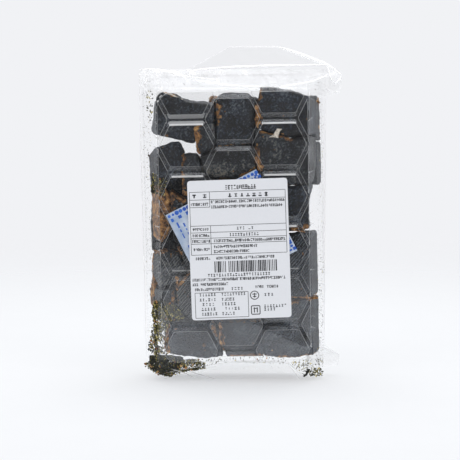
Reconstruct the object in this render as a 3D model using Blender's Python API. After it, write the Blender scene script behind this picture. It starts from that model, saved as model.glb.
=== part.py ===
"""A clear sealed pack of seaweed-wrapped rice crackers, standing on its folded end.

Film is wrapped round a shallow tray whose flat bottom is the pack's front, and is folded shut at both
ends as a parcel is, with a flap at each. A paper label is stuck on the front.

Metres, +Z up. The front faces -Y, and the origin is the middle of the underside of the whole pack's box.
"""

import math

import bmesh
import bpy
from mathutils import Matrix

MM = 0.001

# The film sleeve round the tray, with x measured from the tray's middle.
TRAY_MIDDLE_X = -3.5 * MM  # the film's ears reach further on the right, so the box's middle isn't the tray's
FRONT_Y = -17.0 * MM
BACK_Y = 17.0 * MM
BACK_BULGE = 0.6 * MM  # how far the crackers press the back film out
SIDE_PULL = 0.7 * MM  # how far the film's sides pull in between the tray's floor and its rim
CORNER_RADIUS = 2.4 * MM

# Stations up the sleeve: height, front and back y, left and right reach at the back, and how much narrower
# the front is. The film runs straight from the tray's small floor, in front, to its wide rim, at the back.
# The floor's edges are at 13.6 and 172.2. Past them the film slopes back over the tray's ends.
STATIONS_MM = (
    (0.0, -7.0, 13.0, 46.0, 48.0, 2.0),
    (0.9, -8.6, 15.0, 49.5, 51.0, 3.0),
    (3.5, -10.5, 16.4, 52.0, 53.4, 5.0),
    (8.0, -13.7, 17.0, 53.0, 54.4, 7.6),
    (12.0, -16.5, 17.0, 53.5, 54.6, 9.2),
    (13.6, -17.0, 17.0, 53.6, 54.6, 9.5),
    (60.0, -17.0, 17.0, 54.4, 54.6, 9.5),
    (120.0, -17.0, 17.0, 55.8, 54.6, 9.5),
    (172.2, -17.0, 17.0, 57.2, 54.6, 9.5),
    (174.0, -15.8, 17.0, 57.3, 54.6, 9.0),
    (176.0, -10.4, 17.0, 57.0, 54.5, 7.4),
    (178.2, -4.2, 17.0, 56.0, 54.3, 5.4),
    (180.4, 1.8, 16.6, 54.8, 54.0, 3.4),
    (182.4, 6.6, 15.8, 53.4, 53.6, 1.8),
    (184.0, 9.8, 14.8, 52.2, 53.2, 1.0),
    (185.2, 11.4, 13.8, 51.0, 52.8, 0.6),
)
LONG_STEP = 14.0 * MM  # the longest run between two rings of the sleeve
FRONT_STEPS = 14
SIDE_STEPS = 6
ARC_STEPS = 4

# The end flaps are trapeziums, because the sides were tucked in before the flap was folded over.
FLAP_THICK = 1.0 * MM
TOP_FLAP_ROOT = (12.3 * MM, 183.0 * MM)  # y and height of its lowest line
TOP_FLAP_TIP = (16.4 * MM, 198.9 * MM)
TOP_FLAP_LEFT = ((-36.0, 0.0), (-26.0, 0.2), (-2.0, 1.0))  # x in mm and share of the way up
TOP_FLAP_RIGHT = ((26.3, 1.0), (44.0, 0.62), (55.8, 0.3), (56.6, 0.0))
LOW_FLAP_ROOT = (-9.0 * MM, 0.8 * MM)
LOW_FLAP_TIP = (-16.9 * MM, 12.0 * MM)
LOW_FLAP_LEFT = ((-42.0, 0.0), (-2.0, 1.0))
LOW_FLAP_RIGHT = ((31.0, 1.0), (39.0, 0.0))

# The ears are the corners of film that the folds leave standing out: wide where they leave the sleeve, and
# pressed flat at the tip. Each is given in x and height, in mm, with its y and its half thickness at the root.
EAR_TIP_HALF = 0.6 * MM
EARS = {
    "top_ear": {
        "root": ((44.0, 168.0), (50.5, 168.0), (50.5, 180.0), (44.0, 180.0)),
        "tip": ((62.8, 171.0), (64.5, 176.0), (64.5, 181.5), (60.5, 184.6)),
        "y": 11.5 * MM,
        "root_half": 3.5 * MM,
    },
    "low_ear": {
        "root": ((44.0, 4.5), (49.5, 4.5), (50.5, 20.0), (44.0, 20.0)),
        "tip": ((62.6, 5.4), (64.0, 8.0), (64.0, 12.4)),
        "y": 11.0 * MM,
        "root_half": 4.0 * MM,
    },
    "left_ear": {
        "root": ((-44.0, 168.0), (-51.5, 168.0), (-51.5, 180.0), (-44.0, 180.0)),
        "tip": ((-57.5, 177.0), (-57.5, 182.0), (-55.0, 185.0)),
        "y": 11.5 * MM,
        "root_half": 3.5 * MM,
    },
}

# The label on the front.
LABEL_WIDTH = 59.0 * MM
LABEL_HEIGHT = 82.8 * MM
LABEL_THICK = 0.3 * MM
LABEL_GAP = 0.3 * MM
LABEL_CORNER = 1.8 * MM
LABEL_MIDDLE = (2.9 * MM, 79.5 * MM)  # x from the tray's middle, and height
LABEL_TURN = math.radians(2.0)
LABEL_ARC_STEPS = 5

MIDDLE = Matrix.Translation((TRAY_MIDDLE_X, 0.0, 0.0))
UPRIGHT = Matrix.Rotation(math.pi / 2, 4, "X")  # turns a flat outline's y into height


def clear_scene():
    for obj in list(bpy.data.objects):
        bpy.data.objects.remove(obj)


def new_collection(name):
    collection = bpy.data.collections.new(name)
    bpy.context.scene.collection.children.link(collection)
    return collection


def material(name, colour, roughness, alpha=1.0):
    made = bpy.data.materials.new(name)
    made.use_nodes = True
    shader = made.node_tree.nodes["Principled BSDF"]
    shader.inputs["Base Color"].default_value = (*colour, 1.0)
    shader.inputs["Roughness"].default_value = roughness
    shader.inputs["Metallic"].default_value = 0.0
    shader.inputs["Alpha"].default_value = alpha
    return made


def rounded_square(radius_u, radius_v):
    """Points (u, v) round the square from -1 to 1, from the front left corner rightwards, corners rounded."""
    corners = (
        (1 - radius_u, -1 + radius_v, -90, FRONT_STEPS),
        (1 - radius_u, 1 - radius_v, 0, SIDE_STEPS),
        (-1 + radius_u, 1 - radius_v, 90, FRONT_STEPS),
        (-1 + radius_u, -1 + radius_v, 180, SIDE_STEPS),
    )
    ring = []
    last = (-1 + radius_u, -1.0)
    for middle_u, middle_v, start, steps in corners:
        arc = []
        for step in range(ARC_STEPS + 1):
            angle = math.radians(start + 90 * step / ARC_STEPS)
            arc.append((middle_u + radius_u * math.cos(angle), middle_v + radius_v * math.sin(angle)))
        for step in range(steps):
            share = step / steps
            ring.append(tuple(a + (b - a) * share for a, b in zip(last, arc[0])))
        ring.extend(arc[:-1])
        last = arc[-1]
    return ring


def sleeve_ring(height, front, back, left, right, narrow):
    """One level outline of the film: a rounded box, narrower in front, with its sides pulled in."""
    half_depth = (back - front) / 2
    half_width = (left + right) / 2
    radius = min(CORNER_RADIUS, 0.4 * half_depth)
    fullness = min(1.0, half_depth / BACK_Y) ** 4
    along = math.sin(math.pi * height / (STATIONS_MM[-1][0] * MM))
    points = []
    for u, v in rounded_square(radius / half_width, radius / half_depth):
        frontness = (1 - v) / 2
        reach_left = left - narrow * frontness
        reach_right = right - narrow * frontness
        x = (reach_right - reach_left) / 2 + u * (reach_left + reach_right) / 2
        x -= math.copysign(SIDE_PULL * fullness * abs(u) ** 8 * (1 - v * v), u)
        y = (front + back) / 2 + v * half_depth
        y += BACK_BULGE * fullness * along * max(v, 0.0) ** 3 * (1 - u * u)
        points.append((x, y, height))
    return points


def sleeve_stations():
    """The stations in metres, with more between those that lie far apart."""
    rows = [tuple(value * MM for value in row) for row in STATIONS_MM]
    for low, high in zip(rows, rows[1:]):
        steps = max(1, math.ceil((high[0] - low[0]) / LONG_STEP))
        for step in range(steps):
            yield tuple(a + (b - a) * step / steps for a, b in zip(low, high))
    yield rows[-1]


def film_sleeve(name):
    """The loft through all rings, closed by a flat foot and a flat top."""
    shape = bmesh.new()
    rings = [[shape.verts.new(point) for point in sleeve_ring(*row)] for row in sleeve_stations()]
    for lower, upper in zip(rings, rings[1:]):
        for i in range(len(lower)):
            j = (i + 1) % len(lower)
            shape.faces.new((lower[i], lower[j], upper[j], upper[i]))
    shape.faces.new(list(reversed(rings[0])))
    shape.faces.new(rings[-1])
    mesh = bpy.data.meshes.new(name)
    shape.to_mesh(mesh)
    shape.free()
    return bpy.data.objects.new(name, mesh)


def plate(name, outline, thickness, placed):
    """A flat outline in x and y given a thickness, made a welded mesh, and placed."""
    curve = bpy.data.curves.new(name, "CURVE")
    curve.dimensions = "2D"
    curve.fill_mode = "BOTH"
    curve.extrude = thickness / 2
    spline = curve.splines.new("POLY")
    spline.points.add(len(outline) - 1)
    for point, (x, y) in zip(spline.points, outline):
        point.co = (x, y, 0.0, 1.0)
    spline.use_cyclic_u = True
    guide = bpy.data.objects.new(name + "_outline", curve)
    bpy.context.scene.collection.objects.link(guide)
    bpy.context.view_layer.update()
    evaluated = guide.evaluated_get(bpy.context.evaluated_depsgraph_get())
    mesh = bpy.data.meshes.new_from_object(evaluated)
    bpy.data.objects.remove(guide)
    shape = bmesh.new()
    shape.from_mesh(mesh)
    bmesh.ops.remove_doubles(shape, verts=shape.verts, dist=0.01 * MM)
    bmesh.ops.recalc_face_normals(shape, faces=shape.faces)
    shape.to_mesh(mesh)
    shape.free()
    mesh.name = name
    obj = bpy.data.objects.new(name, mesh)
    obj.matrix_world = placed
    return obj


def flap(name, root, tip, left, right):
    """A trapezium between a lowest line at root and a highest line at tip, both given as (y, height)."""
    length = math.hypot(tip[0] - root[0], tip[1] - root[1])
    lean = math.atan2(tip[0] - root[0], tip[1] - root[1])
    outline = [(x * MM, share * length) for x, share in left + right]
    placed = MIDDLE @ Matrix.Translation((0.0, *root)) @ Matrix.Rotation(-lean, 4, "X") @ UPRIGHT
    return plate(name, outline, FLAP_THICK, placed)


def ear(name, root, tip, y, root_half):
    """The film's corner as a wedge: the hull of a thick root inside the sleeve and a flat tip outside it."""
    shape = bmesh.new()
    for outline, half in ((root, root_half), (tip, EAR_TIP_HALF)):
        for x, height in outline:
            shape.verts.new((x * MM, y - half, height * MM))
            shape.verts.new((x * MM, y + half, height * MM))
    bmesh.ops.convex_hull(shape, input=shape.verts)
    bmesh.ops.recalc_face_normals(shape, faces=shape.faces)
    mesh = bpy.data.meshes.new(name)
    shape.to_mesh(mesh)
    shape.free()
    obj = bpy.data.objects.new(name, mesh)
    obj.matrix_world = MIDDLE
    return obj


def label_outline():
    corners = ((1, -1, -90), (1, 1, 0), (-1, 1, 90), (-1, -1, 180))
    outline = []
    for side_x, side_y, start in corners:
        for step in range(LABEL_ARC_STEPS + 1):
            angle = math.radians(start + 90 * step / LABEL_ARC_STEPS)
            x = side_x * (LABEL_WIDTH / 2 - LABEL_CORNER) + LABEL_CORNER * math.cos(angle)
            y = side_y * (LABEL_HEIGHT / 2 - LABEL_CORNER) + LABEL_CORNER * math.sin(angle)
            outline.append((x, y))
    return outline


def build():
    clear_scene()
    pack = new_collection("rice_cracker_pack")
    joined = new_collection("joined_shapes")
    film_clear = material("film_clear", (0.80, 0.83, 0.86), 0.12, alpha=0.35)
    label_paper = material("label_paper", (0.76, 0.78, 0.80), 0.5)

    film = film_sleeve("film_pack")
    film.location.x = TRAY_MIDDLE_X
    film.data.materials.append(film_clear)
    pack.objects.link(film)
    folds = [
        flap("top_flap", TOP_FLAP_ROOT, TOP_FLAP_TIP, TOP_FLAP_LEFT, TOP_FLAP_RIGHT),
        flap("low_flap", LOW_FLAP_ROOT, LOW_FLAP_TIP, LOW_FLAP_LEFT, LOW_FLAP_RIGHT),
    ]
    folds += [ear(name, **sizes) for name, sizes in EARS.items()]
    for fold in folds:
        joined.objects.link(fold)
        fold.hide_render = True
        fold.display_type = "WIRE"
        union = film.modifiers.new("join_" + fold.name, "BOOLEAN")
        union.operation = "UNION"
        union.solver = "EXACT"
        union.object = fold

    label_y = FRONT_Y - LABEL_GAP - LABEL_THICK / 2
    label_placed = (
        MIDDLE
        @ Matrix.Translation((LABEL_MIDDLE[0], label_y, LABEL_MIDDLE[1]))
        @ Matrix.Rotation(-LABEL_TURN, 4, "Y")
        @ UPRIGHT
    )
    label = plate("label", label_outline(), LABEL_THICK, label_placed)
    label.data.materials.append(label_paper)
    pack.objects.link(label)


build()
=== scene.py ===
"""A clear sealed pack of seaweed-wrapped rice crackers, standing upright on its folded end.

Crackers lie two deep in a thermoformed tray, whose flat hexagon-ribbed floor is the pack's front. Film is
wrapped round the tray and folded at both ends, with a paper label stuck on it and a sachet under it.
"""

import math
import random

import bmesh
import bpy
from mathutils import Matrix, Vector, noise


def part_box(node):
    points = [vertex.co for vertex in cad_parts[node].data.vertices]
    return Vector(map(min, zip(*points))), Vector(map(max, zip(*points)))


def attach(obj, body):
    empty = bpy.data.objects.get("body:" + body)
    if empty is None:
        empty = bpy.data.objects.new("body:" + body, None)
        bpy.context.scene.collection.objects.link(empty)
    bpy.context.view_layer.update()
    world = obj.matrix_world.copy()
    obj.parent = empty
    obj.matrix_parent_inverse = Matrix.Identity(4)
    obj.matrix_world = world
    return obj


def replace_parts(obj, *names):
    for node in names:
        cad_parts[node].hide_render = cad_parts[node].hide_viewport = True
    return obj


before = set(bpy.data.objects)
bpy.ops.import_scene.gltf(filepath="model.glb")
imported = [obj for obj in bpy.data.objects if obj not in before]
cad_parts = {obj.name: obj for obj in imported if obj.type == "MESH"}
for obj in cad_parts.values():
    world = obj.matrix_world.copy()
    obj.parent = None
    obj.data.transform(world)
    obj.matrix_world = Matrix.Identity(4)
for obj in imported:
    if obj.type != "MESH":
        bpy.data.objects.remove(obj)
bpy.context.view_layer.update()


# ---- Tray ----
# A clear polystyrene tray, vacuum formed from thin sheet, lying on its back rim. Hexagon pads stand up from
# its floor with grooves between them, and short ribs stiffen the sloping sides.

MM = 0.001
FILM_LOW, FILM_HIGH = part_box("film_pack")
LABEL_LOW, LABEL_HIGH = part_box("label")
MIDDLE_X = (FILM_LOW.x + FILM_HIGH.x) / 2 - 3.5 * MM  # the film's ears make the box's middle lie right of this
MIDDLE_Z = 92.3 * MM
FILM_FRONT = LABEL_HIGH.y + 0.3 * MM

TRAY_TURN = math.radians(1.1)
TRAY_GAUGE = 0.35 * MM
FLOOR_HALF = (44.4, 80.0)  # half the floor's width and height, mm
FLOOR_CORNER = 9.0
FLOOR_TOP = 15.7  # mm in front of the pack's middle plane
RIM_BACK = -14.2
WALL_HALF = (53.2, 88.4)
RIM_HALF = (54.0, 89.5)
COLUMN_PITCH = 27.3
ROW_PITCH = 30.6
ROW_SHIFT = 2.7
PAD_CORNERS = ((10.1, 12.2), (16.3, 0.0))  # a pad's corners, right of and above its middle
FOOT_CORNERS = ((10.4, 14.65), (16.75, 0.0))
CELL_CORNERS = ((10.5, 15.3), (16.8, 0.0))
GROOVE_DEPTH = 2.2
RIB_HEIGHTS = (65.0, 50.0, 34.5, 4.0, -10.0, -23.0, -57.0)
RIB_HALF = 3.3
RIB_EDGE = 0.7
RIB_DEEPEST = 6.0
# Painted highlight on the up- and down-facing faces of the side ribs.
RIB_PAINTED_HIGHLIGHT = 0.45
PAD_ROUNDING = 0.9
EDGE_WHITENING_AND_PAINTED_HIGHLIGHT = (0.42, 0.40)  # how white a pad's drawn edge is facing sideways, and how much more facing up: whitening with painted highlight, the upward share all painted highlight
# The same for the grooves' slopes: faint whitening with painted highlight, more of it facing up.
SLOPE_WHITENING_AND_PAINTED_HIGHLIGHT = (0.02, 0.06)
LOW_WHITE = 0.8  # the share of that whiteness and painted highlight on the lower pads
GROOVE_SHADE = -0.9  # painted shade: how much less their grooves reflect, so that they show dark
WALL_SHADES = (-1.0, -0.65)  # painted shade: how much less the left and right walls reflect
HIGHLIT_GROOVE = (63.9, -12.0)  # the height, and the side, of the one groove whose upward slope gets a painted highlight
WALL_PROFILE = ((0.05, 0.04), (0.20, 0.20), (0.36, 0.36), (0.42, 0.42), (0.70, 0.70), (1.0, 1.0))


def linear(code):
    """A colour's hex code as linear RGBA."""
    channels = [int(code[at : at + 2], 16) / 255 for at in (1, 3, 5)]
    bent = [c / 12.92 if c <= 0.04045 else ((c + 0.055) / 1.055) ** 2.4 for c in channels]
    return (*bent, 1.0)


def add_node(tree, kind, settings=None, inputs=None):
    """Adds a node with its settings. An input that is given a socket is linked, and any other is set."""
    node = tree.nodes.new(kind)
    for name, value in (settings or {}).items():
        setattr(node, name, value)
    for name, value in (inputs or {}).items():
        if isinstance(value, bpy.types.NodeSocket):
            tree.links.new(value, node.inputs[name])
        else:
            node.inputs[name].default_value = value
    return node


def new_material(name):
    """An empty material and its tree, with an output to link to."""
    material = bpy.data.materials.new(name)
    material.use_nodes = True
    tree = material.node_tree
    tree.nodes.clear()
    return material, tree, add_node(tree, "ShaderNodeOutputMaterial")


def new_piece(name, mesh, material=None, smooth=True):
    """An object at the origin with this mesh, in the scene."""
    piece = bpy.data.objects.new(name, mesh)
    bpy.context.scene.collection.objects.link(piece)
    if material:
        mesh.materials.clear()
        mesh.materials.append(material)
    mesh.shade_smooth() if smooth else mesh.shade_flat()
    return piece


def mesh_of(name, solid):
    mesh = bpy.data.meshes.new(name)
    solid.to_mesh(mesh)
    solid.free()
    return mesh


def make_plain(piece):
    """Turns what the piece's modifiers make into its own mesh."""
    bpy.context.view_layer.update()
    graph = bpy.context.evaluated_depsgraph_get()
    made = bpy.data.meshes.new_from_object(piece.evaluated_get(graph))
    piece.modifiers.clear()
    piece.data = made
    return piece


def grow(name, tree, values, mesh=None):
    """Runs a geometry tree with its named inputs set, and returns the result as a plain piece."""
    piece = new_piece(name, mesh or bpy.data.meshes.new(name))
    modifier = piece.modifiers.new("grow", "NODES")
    modifier.node_group = tree
    for label, value in values.items():
        modifier[tree.interface.items_tree[label].identifier] = value
    return make_plain(piece)


def settle(piece):
    """Fixes a finished piece to the pack."""
    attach(piece, "root")
    return piece


def at_pack(u, w, toward):
    """A point u right and w above the tray's middle, and this far in front of the middle plane, in mm."""
    return Vector((MIDDLE_X + u * MM, -toward * MM, MIDDLE_Z + w * MM))


def clear_plastic(name, face_on, edge_on, silvery, lifted, gloss, haze, haze_scale, ripple, ripple_scale):
    """Clear sheet: straight through it but for the share that each face reflects, which grows to grazing.

    Where its creasing attribute is over 0 it is whitened, by creasing and in places as painted highlight, and the
    silvery share of the white is a soft mirror of small facets, which look upwards as far as lifted says. Where it is
    under 0 the sheet reflects less, which is painted shade on the tray's grooves and walls.
    """
    material, tree, output = new_material(name)
    place = add_node(tree, "ShaderNodeTexCoord").outputs["Object"]
    waves = add_node(tree, "ShaderNodeTexNoise", inputs={"Vector": place, "Scale": ripple_scale, "Detail": 3.0})
    bump = add_node(
        tree,
        "ShaderNodeBump",
        inputs={"Strength": ripple, "Distance": 0.3 * MM, "Height": waves.outputs["Fac"]},
    )
    facing = add_node(tree, "ShaderNodeLayerWeight", inputs={"Blend": 0.5, "Normal": bump.outputs["Normal"]})
    grazing = add_node(
        tree, "ShaderNodeMath", {"operation": "POWER"}, {0: facing.outputs["Facing"], 1: 5.0}
    )
    share = add_node(
        tree,
        "ShaderNodeMapRange",
        inputs={"Value": grazing.outputs[0], "To Min": face_on, "To Max": edge_on},
    )
    creasing_and_painted_light = add_node(tree, "ShaderNodeAttribute", {"attribute_name": "crease_and_painted_light"})
    left = add_node(
        tree, "ShaderNodeMath", {"operation": "ADD", "use_clamp": True}, {0: creasing_and_painted_light.outputs["Fac"], 1: 1.0}
    )
    share = add_node(
        tree, "ShaderNodeMath", {"operation": "MULTIPLY"}, {0: share.outputs[0], 1: left.outputs[0]}
    )
    clear = add_node(tree, "ShaderNodeBsdfTransparent", inputs={"Color": linear("#FFFFFF")})
    mirror = add_node(
        tree,
        "ShaderNodeBsdfAnisotropic",
        inputs={"Color": linear("#F6F9FD"), "Roughness": gloss, "Normal": bump.outputs["Normal"]},
    )
    shine = add_node(
        tree,
        "ShaderNodeMixShader",
        inputs={0: share.outputs[0], 1: clear.outputs[0], 2: mirror.outputs[0]},
    )
    cloud = add_node(tree, "ShaderNodeTexNoise", inputs={"Vector": place, "Scale": haze_scale, "Detail": 4.0})
    patchy = add_node(
        tree,
        "ShaderNodeMapRange",
        inputs={"Value": cloud.outputs["Fac"], "From Min": 0.3, "From Max": 0.75, "To Max": haze},
    )
    white = add_node(tree, "ShaderNodeBsdfTranslucent", inputs={"Color": linear("#F8F8F7")})
    face = add_node(tree, "ShaderNodeBsdfDiffuse", inputs={"Color": linear("#F8F8F7")})
    scatter = add_node(
        tree, "ShaderNodeMixShader", inputs={0: 0.5, 1: white.outputs[0], 2: face.outputs[0]}
    )
    cloudy = add_node(
        tree,
        "ShaderNodeMixShader",
        inputs={0: patchy.outputs[0], 1: shine.outputs[0], 2: scatter.outputs[0]},
    )
    surface = add_node(tree, "ShaderNodeNewGeometry").outputs["Normal"]
    tipped = add_node(tree, "ShaderNodeVectorMath", {"operation": "ADD"}, {0: surface, 1: (0, 0, lifted)})
    facets = add_node(tree, "ShaderNodeVectorMath", {"operation": "NORMALIZE"}, {0: tipped.outputs[0]})
    silver = add_node(
        tree,
        "ShaderNodeBsdfAnisotropic",
        inputs={"Color": (1, 1, 1, 1), "Roughness": 0.42, "Normal": facets.outputs[0]},
    )
    frosted = add_node(
        tree, "ShaderNodeMixShader", inputs={0: silvery, 1: scatter.outputs[0], 2: silver.outputs[0]}
    )
    whole = add_node(
        tree,
        "ShaderNodeMixShader",
        inputs={0: creasing_and_painted_light.outputs["Fac"], 1: cloudy.outputs[0], 2: frosted.outputs[0]},
    )
    tree.links.new(whole.outputs[0], output.inputs["Surface"])
    return material


# Clear polystyrene, vacuum formed: glassy, with a faint ripple that breaks up its highlights.
tray_plastic = clear_plastic(
    "clear_polystyrene_formed", 0.038, 0.07, 0.5, 0.0, 0.06, 0.005, 60.0, 0.10, 260.0
)


def hexagon(corners):
    """The six points of a hexagon whose upper and right corners are given, counter-clockwise."""
    (near, top), (far, level) = corners
    return ((far, level), (near, top), (-near, top), (-far, level), (-near, -top), (near, -top))


def cell_mesh():
    """One cell of the floor: a raised pad, its sloping side, and its share of the groove."""
    solid = bmesh.new()
    rings = []
    for corners, height in (
        (CELL_CORNERS, FLOOR_TOP - GROOVE_DEPTH),
        (FOOT_CORNERS, FLOOR_TOP - GROOVE_DEPTH),
        (PAD_CORNERS, FLOOR_TOP),
    ):
        rings.append([solid.verts.new((u * MM, w * MM, height * MM)) for u, w in hexagon(corners)])
    for outer, inner in zip(rings, rings[1:]):
        for at in range(6):
            after = (at + 1) % 6
            solid.faces.new((outer[at], outer[after], inner[after], inner[at]))
    solid.faces.new(rings[-1])
    corners = [edge for edge in solid.edges if {edge.verts[0] in rings[-1], edge.verts[1] in rings[-1]} == {True, False}]
    bmesh.ops.bevel(
        solid, geom=corners, offset=PAD_ROUNDING * MM, segments=2, profile=0.5, affect="EDGES"
    )
    return mesh_of("floor_cell", solid)


def lattice_tree():
    """Sets a cell on every point of two staggered grids, and welds the cells into one sheet."""
    tree = bpy.data.node_groups.new("floor lattice", "GeometryNodeTree")
    for label, kind in (
        ("Cell", "NodeSocketObject"),
        ("Column Pitch", "NodeSocketFloat"),
        ("Row Pitch", "NodeSocketFloat"),
        ("Row Shift", "NodeSocketFloat"),
        ("Material", "NodeSocketMaterial"),
    ):
        tree.interface.new_socket(label, in_out="INPUT", socket_type=kind)
    tree.interface.new_socket("Geometry", in_out="OUTPUT", socket_type="NodeSocketGeometry")
    given = add_node(tree, "NodeGroupInput").outputs
    grids = add_node(tree, "GeometryNodeJoinGeometry")
    for columns, rows in ((3, 7), (2, 6)):
        wide = add_node(
            tree,
            "ShaderNodeMath",
            {"operation": "MULTIPLY"},
            {0: given["Column Pitch"], 1: 2.0 * (columns - 1)},
        )
        tall = add_node(
            tree, "ShaderNodeMath", {"operation": "MULTIPLY"}, {0: given["Row Pitch"], 1: rows - 1.0}
        )
        grid = add_node(
            tree,
            "GeometryNodeMeshGrid",
            inputs={
                "Size X": wide.outputs[0],
                "Size Y": tall.outputs[0],
                "Vertices X": columns,
                "Vertices Y": rows,
            },
        )
        tree.links.new(grid.outputs["Mesh"], grids.inputs[0])
    lift = add_node(tree, "ShaderNodeCombineXYZ", inputs={"Y": given["Row Shift"]})
    moved = add_node(
        tree,
        "GeometryNodeTransform",
        inputs={"Geometry": grids.outputs[0], "Translation": lift.outputs[0]},
    )
    cell = add_node(tree, "GeometryNodeObjectInfo", inputs={"Object": given["Cell"]})
    placed = add_node(
        tree,
        "GeometryNodeInstanceOnPoints",
        inputs={"Points": moved.outputs[0], "Instance": cell.outputs["Geometry"]},
    )
    real = add_node(tree, "GeometryNodeRealizeInstances", inputs={"Geometry": placed.outputs[0]})
    welded = add_node(
        tree, "GeometryNodeMergeByDistance", inputs={"Geometry": real.outputs[0], "Distance": 0.25 * MM}
    )
    coated = add_node(
        tree,
        "GeometryNodeSetMaterial",
        inputs={"Geometry": welded.outputs[0], "Material": given["Material"]},
    )
    add_node(tree, "NodeGroupOutput", inputs={"Geometry": coated.outputs[0]})
    return tree


def wall_place(u, w, toward, out, down):
    """Where a point of the floor's edge goes on the wall: out from 0 to 1 sideways, down from 0 to 1 in depth."""
    spread_u = 1 + out * (WALL_HALF[0] / FLOOR_HALF[0] - 1)
    spread_w = 1 + out * (WALL_HALF[1] / FLOOR_HALF[1] - 1)
    return Vector((u * spread_u, w * spread_w, toward + down * (RIM_BACK - toward)))


def rib_depth(w):
    """1 inside a side rib, 0 outside, and between the two on its edge."""
    nearest = min(abs(w - rib) for rib in RIB_HEIGHTS)
    return min(1.0, max(0.0, (RIB_HALF - nearest) / RIB_EDGE))


def build_tray():
    cell = new_piece("floor_cell", cell_mesh())
    inputs = {
        "Cell": cell,
        "Column Pitch": COLUMN_PITCH * MM,
        "Row Pitch": ROW_PITCH * MM,
        "Row Shift": ROW_SHIFT * MM,
        "Material": tray_plastic,
    }
    tray = grow("tray", lattice_tree(), inputs)
    bpy.data.objects.remove(cell)
    solid = bmesh.new()
    solid.from_mesh(tray.data)
    bmesh.ops.scale(solid, vec=(1 / MM, 1 / MM, 1 / MM), verts=solid.verts)
    for step in range(24):
        angle = math.radians(15 * step)
        away = Vector((math.cos(angle), math.sin(angle), 0))
        reach = sum(abs(part) * (half - FLOOR_CORNER) for part, half in zip(away, FLOOR_HALF)) + FLOOR_CORNER
        bmesh.ops.bisect_plane(
            solid,
            geom=[*solid.verts, *solid.edges, *solid.faces],
            plane_co=away * reach,
            plane_no=away,
            clear_outer=True,
        )
    for rib in RIB_HEIGHTS:
        for edge in (-RIB_HALF, RIB_EDGE - RIB_HALF, RIB_HALF - RIB_EDGE, RIB_HALF):
            bmesh.ops.bisect_plane(
                solid,
                geom=[*solid.verts, *solid.edges, *solid.faces],
                plane_co=(0, rib + edge, 0),
                plane_no=(0, 1, 0),
            )
    loops = [edge.link_loops[0] for edge in solid.edges if edge.is_boundary]
    sides = [(loop.link_loop_next.vert, loop.vert) for loop in loops]
    foot = {vert: vert for side in sides for vert in side}
    base = {vert: vert.co.copy() for vert in foot}
    for out, down in WALL_PROFILE:
        ring = {}
        for vert, start in base.items():
            sunk = rib_depth(start.y) if abs(start.x) > FLOOR_HALF[0] - 0.5 and out < 0.4 else 0.0
            ring[vert] = solid.verts.new(wall_place(*start, out * (1 - 0.8 * sunk), down))
        for first, second in sides:
            solid.faces.new((foot[first], foot[second], ring[second], ring[first]))
        foot = ring
    for extra, drop in ((1.0, 0.0), (1.0, 1.3)):
        ring = {}
        for vert, start in base.items():
            top = wall_place(*start, 1.0, 1.0)
            wide = RIM_HALF[0] / WALL_HALF[0], RIM_HALF[1] / WALL_HALF[1]
            ring[vert] = solid.verts.new((top.x * wide[0] * extra, top.y * wide[1] * extra, top.z + drop))
        for first, second in sides:
            solid.faces.new((foot[first], foot[second], ring[second], ring[first]))
        foot = ring
    upright = Matrix.Rotation(-TRAY_TURN, 4, "Y") @ Matrix.Rotation(math.pi / 2, 4, "X")
    place = Matrix.Translation((MIDDLE_X, 0, MIDDLE_Z)) @ upright @ Matrix.Scale(MM, 4)
    bmesh.ops.remove_doubles(solid, verts=solid.verts, dist=0.02)
    bmesh.ops.transform(solid, matrix=place, verts=solid.verts)
    for face in solid.faces:
        face.material_index = 0
    solid.to_mesh(tray.data)
    solid.free()
    tray.data.materials.clear()
    tray.data.materials.append(tray_plastic)
    edges = tray.modifiers.new("rounded edges", "BEVEL")
    edges.width = 0.45 * MM
    edges.segments = 2
    edges.limit_method = "ANGLE"
    edges.angle_limit = math.radians(12)
    wall = tray.modifiers.new("sheet gauge", "SOLIDIFY")
    wall.thickness = TRAY_GAUGE
    wall.offset = -1.0
    tray.modifiers.new("flat faces", "WEIGHTED_NORMAL")
    tray.data.shade_smooth()
    make_plain(tray)
    strain_and_painted_light = tray.data.attributes.new("crease_and_painted_light", "FLOAT", "FACE")
    for face in tray.data.polygons:
        toward = -face.center.y / MM
        u, w = (face.center.x - MIDDLE_X) / MM, (face.center.z - MIDDLE_Z) / MM
        # Painted highlight on the side ribs' level faces.
        if abs(u) > FLOOR_HALF[0] - 1 and toward > RIB_DEEPEST and abs(face.normal.z) > 0.5:
            strain_and_painted_light.data[face.index].value = RIB_PAINTED_HIGHLIGHT
            continue
        # Painted shade: the lower pads' grooves reflect less, so they show as dark bands.
        grooved = FLOOR_TOP - GROOVE_DEPTH - 0.6 < toward < FLOOR_TOP - 0.5 and abs(u) < FLOOR_HALF[0]
        if grooved and w < ROW_PITCH * -0.4 and face.normal.z < 0.3:
            strain_and_painted_light.data[face.index].value = GROOVE_SHADE
            continue
        if abs(face.normal.y) > 0.985:
            continue
        # Painted shade: the side walls reflect less.
        if abs(u) > FLOOR_HALF[0] + 0.3 and abs(face.normal.x) > 0.5 and toward < FLOOR_TOP - 0.5:
            strain_and_painted_light.data[face.index].value = WALL_SHADES[u > 0]
            continue
        if toward < FLOOR_TOP - GROOVE_DEPTH - 0.4:
            continue
        # Whitening of the drawn edges, with painted highlight on faces that look up.
        side, painted_highlight_up = EDGE_WHITENING_AND_PAINTED_HIGHLIGHT if toward > FLOOR_TOP - 0.5 else SLOPE_WHITENING_AND_PAINTED_HIGHLIGHT
        white = (side + painted_highlight_up * max(0.0, face.normal.z)) * (LOW_WHITE if w < ROW_PITCH * -0.4 else 1.0)
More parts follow.
